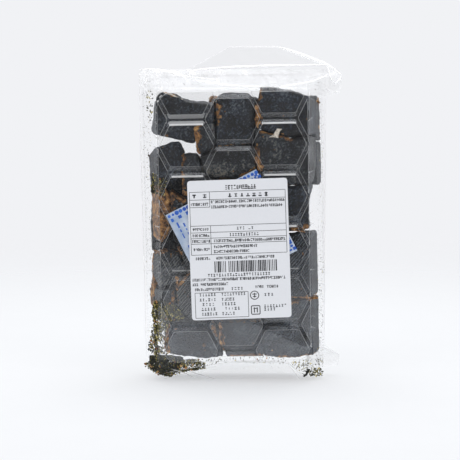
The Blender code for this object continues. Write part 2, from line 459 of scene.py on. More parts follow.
        # A painted highlight on the upward slope of one groove.
        if abs(w - HIGHLIT_GROOVE[0]) < 3.0 and u < HIGHLIT_GROOVE[1] and face.normal.z > 0.3:
            white = 0.34
        strain_and_painted_light.data[face.index].value = white
    return settle(tray)


tray = build_tray()


# ---- Crackers ----
# Puffed rice crackers, toasted brown and knobbly, each with a sheet of roasted seaweed wrapped round it and
# torn or short at the edges, so that the rice shows there. They lie loose in the tray, two deep.

FRONT_LAYER = (12.6, -3.4)  # how far in front of the middle plane a layer's crackers start and end, mm
BACK_LAYER = (-4.0, -15.4)
VOXEL = 0.85 * MM
WRAP_GAP = 0.16 * MM
WRAP_GAUGE = 0.22 * MM
SHRINK = (0.45, -0.6)  # how far in its outline a front and a back cracker starts, before it swells, mm
RIB_PITCH = 1.45  # mm; drawn coarser than the real mat's, so that it shows
# How strongly each wrap's ribs show, and how much bluish painted reflection is multiplied into it; a wrap that isn't
# named has the usual ones.
RIBBED = {"fourth_inner": 0.36, "fourth_left": 0.18, "fifth_middle": 0.5, "fourth_right": 0.26,
          "low_right": 0.12, "low_middle": 0.14, "low_left": 0.12, "fourth_middle": 0.18}
PAINTED_REFLECTION_BLUE = {"top_left": 0.7, "top_middle": 0.8, "top_right": 0.95, "second_left": 0.8, "second_middle": 0.1,
        "second_right": 0.3, "third_right": 1.0, "fourth_right": 0.9, "fifth_middle": 0.5, "low_left": 0.8,
        "low_middle": 0.8, "low_right": 0.9}
# Each cracker's corners, in mm right of and above the tray's middle; the sides, counted from 0, that the
# wrap leaves bare, with the width in mm; and its tilt, in degrees, about level and upright axes.
FRONT_CRACKERS = {
    "top_left": (
        ((-45.3, 78.2), (-41.5, 79.6), (-35, 78.2), (-31, 76), (-26.5, 74), (-12.5, 72.6), (-12.5, 62),
         (-23, 61), (-23.4, 49.6), (-36, 52.2), (-49.6, 56), (-48.6, 61)),
        {1: 1.3, 2: 0.7}, (3, 1),
    ),
    "top_wedge": (
        ((-23.4, 60), (-12, 61.5), (-11.5, 47), (-20.5, 43.0), (-22.6, 44.4)),
        {4: 3.0}, (0, -2),
    ),
    "top_middle": (
        ((-11, 74), (-9.5, 77.6), (-6, 78.6), (8.5, 78.8), (11.5, 74), (11, 65.5), (10.8, 49), (-10.5, 47), (-11, 61)),
        {8: 3.6, 6: 1.0}, (1, 2),
    ),
    "top_right": (
        ((15.3, 82.6), (24.5, 82.2), (33.5, 80.0), (42.5, 77.2), (50.5, 73.6), (50.3, 62.5), (49.8, 55),
         (33.5, 53.5), (12.5, 58.5), (11.8, 64)),
        {9: 1.3, 8: 3.6, 4: 1.0}, (1, -1),
    ),
    "second_left": (
        ((-37.5, 49.6), (-32.6, 50), (-29.6, 43), (-31, 31), (-37.5, 25), (-44.5, 28.5), (-51.0, 31),
         (-51.6, 41.5), (-46, 46.3)),
        {2: 1.2, 6: 1.2}, (-2, 2),
    ),
    "second_inner": (
        ((-31.6, 42.8), (-22, 43.0), (-18.5, 29.5), (-13, 28.5), (-13, 17), (-30.5, 18.5), (-32.0, 31)),
        {5: 2.2, 6: 1.8}, (1, -2),
    ),
    "second_middle": (
        ((-20.5, 42), (-11, 45.5), (10.5, 47), (12.5, 34.5), (3.5, 29.5), (-11.5, 29.5), (-17.5, 30.5)),
        {3: 1.5}, (3, 1),
    ),
    "second_right": (
        ((13.5, 57.5), (33.5, 52), (49, 53), (50, 49), (48.5, 37.5), (47, 26.5), (33.5, 25), (14, 32.5),
         (12, 46.5)),
        {0: 1.0, 7: 2.6}, (-2, -2),
    ),
    "left_crust": (
        ((-49.5, 23), (-42.5, 25), (-38, 17), (-38, -2.5), (-43, -9.5), (-49, -6.5)),
        None, (0, 3),
    ),
    "third_left": (
        ((-38.5, 22.5), (-31, 17.5), (-14, 15.5), (-14, -7.5), (-35.5, -9), (-37, 7.5)),
        {0: 2.6, 5: 2.4}, (2, -2),
    ),
    "third_middle": (
        ((-12, 27.5), (11, 27.5), (14, 31), (15, -2), (-12.5, -3)),
        {0: 1.5}, (1, 1),
    ),
    "third_right": (
        ((16.5, 30.5), (33.5, 23.5), (46.5, 25), (44.5, 19), (43.5, 7.5), (44.5, -1), (32, -2.5), (17, -2)),
        {5: 2.0, 6: 1.6}, (-1, 2),
    ),
    "fourth_left": (
        ((-47.5, -16), (-41, -13.5), (-34, -16.5), (-29.5, -25.5), (-34, -34), (-44.5, -36.5), (-49, -28.5)),
        {0: 1.6}, (-3, 3),
    ),
    "fourth_inner": (
        ((-35, -11), (-14.5, -10), (-14, -23.5), (-27, -24.5), (-32, -17)),
        {4: 1.4}, (1, 0),
    ),
    "fourth_middle": (
        ((-12.5, -5), (18, -4), (18, -24), (10, -33), (-2, -24.5), (-12.5, -24.5)),
        {4: 1.5}, (2, 0),
    ),
    "fourth_right": (
        ((20, -6), (33.5, -5), (41.5, -4), (49, -3.5), (50.5, -19.5), (52, -30), (52.4, -41.6), (34.5, -42.6),
         (21.5, -41), (19.5, -13.5)),
        {7: 0.9, 6: 1.1}, (-1, -2),
    ),
    "fifth_left": (
        ((-48, -38.5), (-36.5, -37), (-35.5, -54), (-40, -55.5), (-47, -54)),
        {1: 1.2}, (0, 2),
    ),
    "fifth_middle": (
        ((-35, -35.5), (-27, -26.5), (-3, -26), (12, -43.5), (11, -54), (-27, -55), (-34, -47)),
        {0: 1.8, 6: 1.0}, (1, 1),
    ),
    "low_left": (
        ((-40, -57), (-12.5, -56.5), (-9, -67.5), (-6.8, -77.4), (-21, -78.5), (-40, -75.5), (-41, -66)),
        {1: 2.0, 5: 1.8, 6: 1.4}, (1, 1),
    ),
    "low_middle": (
        ((-9, -56.5), (16.4, -55.5), (17.4, -77.2), (-4.8, -78.0), (-7, -70)),
        {4: 1.6, 2: 1.2, 0: 1.0}, (1, -1),
    ),
    "low_right": (
        ((19, -43), (33.5, -44), (52.2, -42), (52.2, -55.5), (51.5, -76.5), (34.5, -78.5), (17.0, -77.6),
         (16.4, -61.5)),
        {0: 1.4, 1: 2.0, 4: 1.0, 5: 1.2}, (2, 2),
    ),
}
BACK_COLUMNS = ((-48.5, -18.0), (-15.5, 14.0), (16.5, 51.5))
BACK_ROWS = (
    ((55.6, 74.0), (16.5, 41.4), (-16.0, 13.0), (-47.5, -19.0), (-76.0, -51.0)),
    ((57.0, 76.0), (27.0, 55.0), (-4.0, 25.0), (-38.0, -6.5), (-76.0, -40.5)),
    ((52.0, 76.0), (24.0, 50.0), (-3.5, 22.0), (-38.0, -5.5), (-75.0, -40.5)),
)
BACK_NOTCH = (2, 2, 42.0)  # this column and row stop short here, mm
BACK_LEFTS = {0: -45.5, 4: -42.0}  # where these rows of the first column start instead

# Roasted seaweed, pressed and dried in sheets: blue-black with an olive and brown mottle, a soft sheen,
# and the close ribs that its drying mat leaves. Each wrap also gets a bluish tint as painted reflection.
seaweed, tree, output = new_material("roasted_seaweed_sheet")
place = add_node(tree, "ShaderNodeTexCoord").outputs["Object"]
patches = add_node(tree, "ShaderNodeTexNoise", inputs={"Vector": place, "Scale": 110.0, "Detail": 5.0})
fronds = add_node(
    tree, "ShaderNodeTexNoise", inputs={"Vector": place, "Scale": 760.0, "Detail": 5.0, "Roughness": 0.62}
)
turned = add_node(
    tree, "ShaderNodeMapping", inputs={"Vector": place, "Rotation": (0, math.radians(-40), 0)}
)
mat_ribs = add_node(
    tree,
    "ShaderNodeTexWave",
    inputs={"Vector": turned.outputs[0], "Scale": math.tau / 20 / (RIB_PITCH * MM), "Distortion": 0.4},
)
raised = add_node(
    tree, "ShaderNodeMath", {"operation": "SUBTRACT"}, {0: mat_ribs.outputs["Fac"], 1: 0.5}
)
ribbed = add_node(tree, "ShaderNodeAttribute", {"attribute_name": "ribbed"})
pressed = add_node(
    tree,
    "ShaderNodeMath",
    {"operation": "MULTIPLY_ADD"},
    {0: raised.outputs[0], 1: ribbed.outputs["Fac"], 2: fronds.outputs["Fac"]},
)
mottle = add_node(
    tree,
    "ShaderNodeMath",
    {"operation": "MULTIPLY_ADD"},
    {0: patches.outputs["Fac"], 1: 0.6, 2: pressed.outputs[0]},
)
shades = add_node(tree, "ShaderNodeValToRGB", inputs={"Fac": mottle.outputs[0]})
shades.color_ramp.elements[0].position = 0.70
shades.color_ramp.elements[0].color = linear("#030404")
shades.color_ramp.elements[1].position = 0.98
shades.color_ramp.elements[1].color = linear("#716C60")
for position, code in ((0.76, "#0A0C0F"), (0.81, "#1E2228"), (0.86, "#363A3F"), (0.92, "#4E4F4C")):
    shades.color_ramp.elements.new(position).color = linear(code)
# Painted reflection: each wrap's colour is multiplied by a pale blue as far as its value says, which tints and darkens
# it.
reflection_blueness = add_node(tree, "ShaderNodeAttribute", {"attribute_name": "reflection_blueness"})
reflection_tinted = add_node(
    tree,
    "ShaderNodeMix",
    {"data_type": "RGBA", "blend_type": "MULTIPLY"},
    {0: reflection_blueness.outputs["Fac"], 6: shades.outputs["Color"], 7: linear("#C3DAFF")},
)
bump = add_node(
    tree,
    "ShaderNodeBump",
    inputs={"Strength": 1.0, "Distance": 1.0 * MM, "Height": pressed.outputs[0]},
)
sheen = add_node(
    tree,
    "ShaderNodeMapRange",
    inputs={"Value": fronds.outputs["Fac"], "From Min": 0.3, "From Max": 0.7, "To Min": 0.34, "To Max": 0.62},
)
skin = add_node(
    tree,
    "ShaderNodeBsdfPrincipled",
    inputs={
        "Base Color": reflection_tinted.outputs[2],
        "Roughness": sheen.outputs[0],
        "IOR": 1.45,
        "Normal": bump.outputs["Normal"],
    },
)
tree.links.new(skin.outputs[0], output.inputs["Surface"])

# Toasted rice dough, puffed and glazed with soy: orange-brown, paler where it has torn, pitted and dull.
rice, tree, output = new_material("toasted_rice_crust")
place = add_node(tree, "ShaderNodeTexCoord").outputs["Object"]
toast = add_node(
    tree, "ShaderNodeTexNoise", inputs={"Vector": place, "Scale": 330.0, "Detail": 6.0, "Roughness": 0.7}
)
shades = add_node(tree, "ShaderNodeValToRGB", inputs={"Fac": toast.outputs["Fac"]})
shades.color_ramp.elements[0].position = 0.38
shades.color_ramp.elements[0].color = linear("#1E140C")
shades.color_ramp.elements[1].position = 0.72
shades.color_ramp.elements[1].color = linear("#D2A868")
for position, code in ((0.46, "#5A3C24"), (0.55, "#966A3A")):
    shades.color_ramp.elements.new(position).color = linear(code)
pits = add_node(tree, "ShaderNodeTexVoronoi", inputs={"Vector": place, "Scale": 520.0})
bump = add_node(
    tree, "ShaderNodeBump", inputs={"Strength": 0.7, "Distance": 0.6 * MM, "Height": pits.outputs["Distance"]}
)
crust = add_node(
    tree,
    "ShaderNodeBsdfPrincipled",
    inputs={
        "Base Color": shades.outputs["Color"],
        "Roughness": 0.62,
        "IOR": 1.45,
        "Normal": bump.outputs["Normal"],
    },
)
tree.links.new(crust.outputs[0], output.inputs["Surface"])


def tray_wall(toward):
    """The wall's half width inside at this depth, mm."""
    share = min(1.0, max(0.0, (FLOOR_TOP - toward) / (FLOOR_TOP - RIM_BACK)))
    return FLOOR_HALF[0] + share * (WALL_HALF[0] - FLOOR_HALF[0]) - 0.7


def slab_mesh(name, corners, layer):
    """A plain prism on this outline, through the layer's thickness."""
    solid = bmesh.new()
    face = solid.faces.new([solid.verts.new(at_pack(u, w, layer[0])) for u, w in corners])
    if face.normal.y > 0:
        face.normal_flip()
    solid.normal_update()
    made = bmesh.ops.extrude_face_region(solid, geom=[face])
    moved = [part for part in made["geom"] if isinstance(part, bmesh.types.BMVert)]
    bmesh.ops.translate(solid, vec=(0, (layer[0] - layer[1]) * MM, 0), verts=moved)
    bmesh.ops.recalc_face_normals(solid, faces=solid.faces)
    return mesh_of(name, solid)


def puff(piece, middle, tilt, seed, knobbly, shrink):
    """Swells a cracker unevenly, leans it, and presses it against the tray's sides and floor."""
    lean = Matrix.Rotation(math.radians(tilt[0]), 3, "X") @ Matrix.Rotation(math.radians(tilt[1]), 3, "Z")
    shift = Vector((seed * 3.7, seed * 1.9, seed * 5.3))
    normals = [vert.normal.copy() for vert in piece.data.vertices]
    for vert, normal in zip(piece.data.vertices, normals):
        spot = vert.co / MM
        swell = 0.7 * noise.noise(spot / 11 + shift) + 0.55 * noise.noise(spot / 2.6 + shift)
        swell += knobbly * abs(noise.noise(spot / 2.6 - shift)) - shrink * (1 - abs(normal.y))
        vert.co = middle + lean @ (vert.co + normal * swell * MM - middle)
        side = (vert.co.x - MIDDLE_X) / MM + math.tan(TRAY_TURN) * (vert.co.z - MIDDLE_Z) / MM
        over = abs(side) - tray_wall(-vert.co.y / MM)
        if over > 0:
            vert.co.x -= math.copysign(over * MM, side)
        vert.co.y = max(vert.co.y, -(FLOOR_TOP - GROOVE_DEPTH - 1.0) * MM)
        vert.co.y = min(vert.co.y, -(BACK_LAYER[1] - 1.1) * MM)


def side_distance(spot, start, end):
    along = Vector(end) - Vector(start)
    share = (spot - Vector(start)).dot(along) / along.length_squared
    return (spot - Vector(start) - along * min(1.0, max(0.0, share))).length


def wrap_mesh(name, body, corners, bare, seed):
    """The seaweed round a cracker: its skin, less the bare sides, with a torn edge."""
    solid = bmesh.new()
    solid.from_mesh(body.data)
    shift = Vector((seed * 2.3, -seed * 4.1, seed))
    gone = []
    for face in solid.faces:
        spot = face.calc_center_median() / MM
        flat = Vector((spot.x - MIDDLE_X / MM, spot.z - MIDDLE_Z / MM))
        ragged = 0.8 + 1.0 * noise.noise(spot / 1.7 + shift) + 0.7 * noise.noise(spot / 6 + shift)
        torn = noise.noise(spot / 3.5 - shift) + 0.7 * noise.noise(spot / 1.3 + shift) > 0.92
        near = any(
            side_distance(flat, corners[side], corners[(side + 1) % len(corners)]) < width * ragged
            for side, width in bare.items()
        )
        if near or torn:
            gone.append(face)
    bmesh.ops.delete(solid, geom=gone, context="FACES")
    bmesh.ops.smooth_vert(
        solid, verts=[v for v in solid.verts if v.is_boundary], factor=0.5, use_axis_x=True, use_axis_z=True
    )
    for vert in solid.verts:
        lift = 0.35 * abs(noise.noise(vert.co / MM / 2.0 + shift))
        vert.co += vert.normal * (WRAP_GAP + lift * MM)
    return mesh_of(name, solid)


def make_cracker(name, corners, bare, tilt, layer, seed):
    body = new_piece(f"rice_{name}", slab_mesh(name, corners, layer), rice)
    rounded = body.modifiers.new("rounded", "BEVEL")
    rounded.width = 1.1 * MM
    rounded.segments = 2
    rounded.limit_method = "ANGLE"
    fine = body.modifiers.new("even faces", "REMESH")
    fine.mode = "VOXEL"
    fine.voxel_size = VOXEL
    soft = body.modifiers.new("soft", "SMOOTH")
    soft.iterations = 2
    make_plain(body)
    middle = sum((vert.co for vert in body.data.vertices), Vector()) / len(body.data.vertices)
    shrink = SHRINK[0] if layer == FRONT_LAYER else SHRINK[1]
    puff(body, middle, tilt, seed, 1.5 if bare is None else 0.3, shrink)
    body.data.materials.clear()
    body.data.materials.append(rice)
    body.data.shade_smooth()
    settle(body)
    if bare is None:
        return
    wrap = new_piece(f"seaweed_{name}", wrap_mesh(name, body, corners, bare, seed), seaweed)
    gauge = wrap.modifiers.new("sheet gauge", "SOLIDIFY")
    gauge.thickness = WRAP_GAUGE
    gauge.offset = 1.0
    make_plain(wrap)
    for label_name, value in (("ribbed", RIBBED.get(name, 0.04)), ("reflection_blueness", PAINTED_REFLECTION_BLUE.get(name, 0.4))):
        wrap.data.attributes.new(label_name, "FLOAT", "POINT").data.foreach_set(
            "value", [value] * len(wrap.data.vertices)
        )
    settle(wrap)


noise.seed_set(5)
for seed, (name, (corners, bare, tilt)) in enumerate(FRONT_CRACKERS.items()):
    make_cracker(name, corners, bare, tilt, FRONT_LAYER, seed + 1.3)

chance = random.Random(7)
for column, (left, right) in enumerate(BACK_COLUMNS):
    for row, (low, high) in enumerate(BACK_ROWS[column]):
        if (column, row) == BACK_NOTCH[:2]:
            right = BACK_NOTCH[2]
        start = BACK_LEFTS.get(row, left) if column == 0 else left
        mid = (start + right) / 2 + chance.uniform(-4, 4)
        outline = ((start, high), (mid, high), (right, high), (right, low), (mid, low), (start, low))
        corners = [(u + chance.uniform(-1.9, 1.5), w + chance.uniform(-2.4, 1.2)) for u, w in outline]
        bare = {chance.choice((2, 5)): chance.uniform(1.5, 4.0), chance.choice((0, 4)): 1.4}
        tilt = (chance.uniform(-4, 4), chance.uniform(-4, 4))
        make_cracker(f"back_{column + 1}_{row + 1}", corners, bare, tilt, BACK_LAYER, 40 + 3 * column + row)


# ---- Crust slivers ----
# Strips of toasted crust that have come out at the edges of the wraps, and one pale chip of the rice inside.
# They are rolled lumps of the same dough, lying on the crackers' faces.

# Each sliver's path, in mm right of and above the tray's middle, its half width and how uneven it is.
SLIVERS = (
    (((15.6, 82.0), (15.0, 78.0), (13.6, 74.5), (13.0, 71.0)), 0.8, 0.5),
    (((13.2, 71.5), (13.6, 68.5), (14.2, 65.5), (13.0, 63.0)), 2.0, 0.6),
    (((-23.2, 59.0), (-22.6, 54.0), (-21.6, 49.0), (-21.8, 45.0)), 1.15, 0.6),
    (((-30.4, 42.0), (-29.8, 38.0), (-29.8, 34.0), (-30.4, 30.0), (-30.0, 23.0)), 0.6, 0.7),
    (((-40.8, 20.5), (-38.4, 16.0), (-36.4, 12.4)), 0.6, 0.6),
    (((-22.6, 58.4), (-21.0, 57.8)), 1.0, 0.5),
    (((27.6, 55.2), (31.0, 55.0), (33.4, 54.6)), 0.35, 0.7),
    (((12.4, 41.0), (13.8, 37.0), (16.0, 34.6)), 1.1, 0.8),
    (((28.0, -0.6), (33.6, -1.4), (42.0, -3.2)), 0.6, 0.7),
    (((33.0, -40.4), (40.0, -42.0), (46.0, -42.6), (50.0, -42.4)), 0.9, 0.7),
    (((-8.8, -57.6), (-8.2, -61.6), (-8.6, -66.0), (-8.0, -71.4)), 1.0, 0.7),
    (((-39.0, -51.4), (-38.0, -52.0)), 0.9, 0.5),
    (((-2.6, -77.0), (8.0, -77.0), (17.4, -76.8)), 0.55, 0.8),
    (((-41.6, -66.0), (-41.2, -72.0), (-39.4, -75.4)), 0.7, 0.8),
    (((-34.6, -30.0), (-34.0, -34.0), (-33.6, -38.4)), 1.2, 0.8),
    (((-50.6, 42.6), (-50.0, 41.4)), 0.7, 0.4),
    (((48.4, 74.6), (50.0, 73.2)), 0.9, 0.5),
)
CHIP = ((19.4, 52.8), (22.6, 53.2), (25.6, 52.4), (26.6, 56.4), (28.4, 58.2), (25.0, 58.4), (22.8, 54.6))
SLIVER_FACE = 12.5

# Pale strips of the crumb along the top edges of three wraps.
PALE_TOP_STRIPS = (
    (((-41.2, 78.8), (-37.5, 78.4), (-34.0, 76.6), (-30.6, 75.2)), 0.55, 0.8),
    (((-33.0, 74.4), (-28.6, 73.0), (-24.0, 72.2)), 0.35, 0.9),
    (((25.0, 80.4), (27.6, 80.6), (29.4, 80.2)), 0.3, 0.8),
)


def lumpy_strips(name, strips, material):
    solid = bmesh.new()
    for seed, (path, half, uneven) in enumerate(strips):
        for (u0, w0), (u1, w1) in zip(path, path[1:]):
            steps = max(1, round(math.hypot(u1 - u0, w1 - w0) / 0.55))
            for step in range(steps):
                share = step / steps
                spot = Vector((u0 + (u1 - u0) * share, w0 + (w1 - w0) * share, 4.1 * seed))
                reach = half * (1 + uneven * noise.noise(spot / 1.3))
                drift = 0.5 * noise.noise(spot / 1.9 + Vector((9, 4, 0)))
                place = at_pack(spot.x + drift, spot.y, SLIVER_FACE)
                shape = Matrix.Diagonal((reach * MM, 0.45 * reach * MM, 0.8 * MM, 1))
                bmesh.ops.create_icosphere(
                    solid, subdivisions=1, radius=1.0, matrix=Matrix.Translation(place) @ shape
                )
    piece = new_piece(name, mesh_of(name, solid))
    merged = piece.modifiers.new("one lumpy skin", "REMESH")
    merged.mode = "VOXEL"
    merged.voxel_size = 0.35 * MM
    make_plain(piece)
    piece.data.materials.clear()
    piece.data.materials.append(material)
    return settle(piece)


lumpy_strips("crust_slivers", SLIVERS, rice)

# The inside of a puffed cracker: pale, dry and finely pitted.
inside, tree, output = new_material("puffed_rice_crumb")
place = add_node(tree, "ShaderNodeTexCoord").outputs["Object"]
pits = add_node(tree, "ShaderNodeTexVoronoi", inputs={"Vector": place, "Scale": 900.0})
shades = add_node(tree, "ShaderNodeValToRGB", inputs={"Fac": pits.outputs["Distance"]})
shades.color_ramp.elements[0].color = linear("#8C7F6C")
shades.color_ramp.elements[1].color = linear("#E4DCCF")
shades.color_ramp.elements[1].position = 0.6
bump = add_node(
    tree, "ShaderNodeBump", inputs={"Strength": 0.6, "Distance": 0.4 * MM, "Height": pits.outputs["Distance"]}
)
crumb = add_node(
    tree,
    "ShaderNodeBsdfPrincipled",
    inputs={"Base Color": shades.outputs["Color"], "Roughness": 0.7, "Normal": bump.outputs["Normal"]},
)
tree.links.new(crumb.outputs[0], output.inputs["Surface"])
lumpy_strips("torn_edges", PALE_TOP_STRIPS, inside)
chip = new_piece("rice_chip", slab_mesh("rice_chip", CHIP, (SLIVER_FACE + 0.3, SLIVER_FACE - 0.5)), inside)
merged = chip.modifiers.new("one lumpy skin", "REMESH")
merged.mode = "VOXEL"
merged.voxel_size = 0.3 * MM
soft = chip.modifiers.new("soft", "SMOOTH")
soft.iterations = 2
make_plain(chip)
chip.data.materials.clear()
chip.data.materials.append(inside)
settle(chip)


# ---- Crumbs ----
# What has rubbed off the crackers: seaweed dust on both side walls, olive and gold flakes, orange rice crumbs,
# and a loose heap of all three where they have slid down to the tray's low end.

FLAKE_GAUGE = 0.12
# Where crumbs lie: the corners, in mm right of and above the tray's middle, with how far in front of the middle
# plane each is; then each kind's number a square cm, and how much coarser than its usual size it is.
HEAP = (
    (-51.0, -79.0, 2), (-46.0, -77.5, 8), (-38.0, -77.5, 9), (-31.0, -78.5, 9), (-31.0, -84.5, 5),
    (-34.5, -88.5, 4), (-39.0, -91.1, 4), (-46.5, -89.3, 3), (-51.0, -86.5, 2),
)
HEAP_RIM = (
    (-53.5, -83.0, 0), (-50.0, -82.0, 2), (-45.0, -86.6, 3), (-39.0, -89.0, 4), (-34.0, -87.0, 4),
    (-32.6, -88.9, 4), (-39.0, -91.6, 4), (-46.5, -90.0, 3), (-53.8, -85.8, 0),
)
HEAP_GOLD = (
    (-34.0, -80.4, 8), (-22.0, -79.7, 9), (-18.0, -82.0, 7), (-17.5, -86.3, 4), (-25.0, -87.6, 4),
    (-34.0, -88.6, 4),
)
SPILL = (
    (-47.8, -44.3, 13.1), (-42.0, -44.0, 13.1), (-34.0, -47.6, 13.1), (-29.2, -54.8, 13.1), (-38.5, -56.6, 13.1),
    (-40.0, -60.2, 13.1), (-47.6, -61.4, 12.6), (-49.6, -52.0, 10.5),
)
HEAP_EDGE = (
    (-52.4, -76, -2), (-49.0, -60.0, 0), (-45.0, -62.0, 2), (-46.5, -70.0, 4), (-43.0, -76.5, 4),
    (-47.0, -79.5, 0),
)
CRUMB_ZONES = [
    (((49.2, -88, 4), (54.2, -88, -15), (54.2, -20, -15), (49.2, -20, 4)), {"dust": 26, "olive": 5}, 0.9),
    (((49.2, -20, 4), (54.2, -20, -15), (54.2, 84, -15), (49.2, 84, 4)), {"dust": 9, "olive": 3}, 0.7),
    (((-52.8, -66, -15), (-49.0, -66, 4), (-49.5, 20, 4), (-54.6, 20, -15)), {"dust": 5, "olive": 3}, 0.7),
    (((-54.6, 20, -15), (-49.5, 20, 4), (-49.5, 86, 4), (-56.2, 86, -15)), {"dust": 6, "olive": 4}, 0.8),
    (((-52.0, 62, -6), (-48.5, 62, 8), (-48.5, 80, 8), (-53.0, 80, -6)), {"dust": 2, "olive": 12}, 1.5),
    (((-45.5, 79, 9), (-14, 76, 9), (-14, 83, 3), (-47, 87, 0)), {"dust": 14, "olive": 3}, 0.9),
    (((-14, 79, 9), (50, 80, 9), (50, 88, 0), (-14, 87, 0)), {"dust": 7, "olive": 2}, 0.9),
    (((-49.5, 20, 11), (-41.5, 19, 13.1), (-40.0, 29, 13.1), (-48.5, 32, 11)), {"dust": 420, "olive": 90, "rice": 3}, 1.8),
    (((-47.5, -56, 3), (-34, -58, 3), (-31, -44, 3), (-46, -37, 3)), {"dust": 160, "olive": 60, "rice": 3}, 2.4),
    (((-48, -69, 8), (-41, -69, 11), (-40.6, -60, 12), (-48, -60, 9)), {"dust": 90, "olive": 190}, 2.0),
    (((-48, -80, 8), (-40, -80, 8), (-39, -68, 8), (-47.5, -68, 8)), {"dust": 60, "olive": 60}, 1.8),
    (HEAP, {"dust": 950, "rice": 2}, 2.0),
    (HEAP, {"olive": 110}, 1.5),
    (HEAP_RIM, {"olive": 260, "rice": 6}, 1.6),
    (HEAP_GOLD, {"dust": 230, "olive": 150, "rice": 3}, 1.8),
    (((-20, -80, 9), (-6, -79, 9), (-6, -81, 8), (-18, -85, 5)), {"dust": 60, "olive": 50}, 1.4),
    (SPILL, {"dust": 560, "olive": 340, "rice": 3}, 1.7),
    (HEAP_EDGE, {"dust": 240, "olive": 90, "rice": 6}, 2.0),
    (((-8, -82, 8), (32, -83, 8), (32, -78, 9), (-6, -78, 9)), {"dust": 60, "olive": 22, "rice": 2}, 1.2),
    (((32, -80.5, 8), (53, -80, 4), (53.5, -90.8, 3), (42, -91, 4)), {"dust": 80, "olive": 80}, 1.5),
    (((45, -86.5, 4), (53, -86, 3), (53, -91, 3), (45, -91, 4)), {"dust": 60, "olive": 190}, 1.7),
    (((41.2, -91.2, 4), (43.0, -91.2, 4), (45.2, -87.0, 4), (44.2, -86.6, 4)), {"dust": 900}, 2.4),
    (((-9, -87, 0), (28, -88, 0), (28, -83, 2), (-9, -83, 2)), {"dust": 14, "olive": 2}, 0.8),
]
# Each kind's usual size range in mm, its three tones, and its slot.
CRUMB_KINDS = {
    "dust": ((0.22, 0.75), ("#080A0A", "#1C1F1A", "#3E4034"), "dried_seaweed"),
    "olive": ((0.35, 1.0), ("#17180E", "#5A5620", "#E6D684"), "dried_seaweed"),
    "rice": ((0.5, 1.5), ("#6E3C1C", "#B8713A", "#E0B27C"), "toasted_rice"),
}
CLUMP = 3.2  # how far apart crumbs gather, mm
# Dark flakes lie thick along the ledge that each level groove makes inside the tray, and darken these lines.
for column, first, count in ((-1, 2.5, 5), (0, 2.0, 5), (1, 2.5, 5)):
    for row in range(count):
        middle, level = column * COLUMN_PITCH, ROW_SHIFT + ROW_PITCH * (first - row - 0.5)
        level -= middle * math.tan(TRAY_TURN)
        CRUMB_ZONES.append(
            (((middle - 9.2, level - 0.7, 12.9), (middle + 9.2, level - 0.7, 12.9),
              (middle + 8.8, level + 0.5, 12.9), (middle - 8.8, level + 0.5, 12.9)), {"dust": 420}, 1.1)
        )


def flake_material(name, tones):
    """Dry flakes, each its own tone among three, dull and lightly pitted."""
    material, tree, output = new_material(name)
    tone = add_node(tree, "ShaderNodeAttribute", {"attribute_name": "tone"})
    shades = add_node(tree, "ShaderNodeValToRGB", inputs={"Fac": tone.outputs["Fac"]})
    shades.color_ramp.elements[0].color = linear(tones[0])
    shades.color_ramp.elements[1].color = linear(tones[2])
    shades.color_ramp.elements.new(0.6).color = linear(tones[1])
    place = add_node(tree, "ShaderNodeTexCoord").outputs["Object"]
    grain = add_node(tree, "ShaderNodeTexNoise", inputs={"Vector": place, "Scale": 2500.0, "Detail": 3.0})
    bump = add_node(
        tree,
        "ShaderNodeBump",
        inputs={"Strength": 0.5, "Distance": 0.1 * MM, "Height": grain.outputs["Fac"]},
    )
    skin = add_node(
        tree,
        "ShaderNodeBsdfPrincipled",
        inputs={
            "Base Color": shades.outputs["Color"],
            "Roughness": 0.6,
            "IOR": 1.45,
            "Normal": bump.outputs["Normal"],
        },
    )
    tree.links.new(skin.outputs[0], output.inputs["Surface"])
    return material


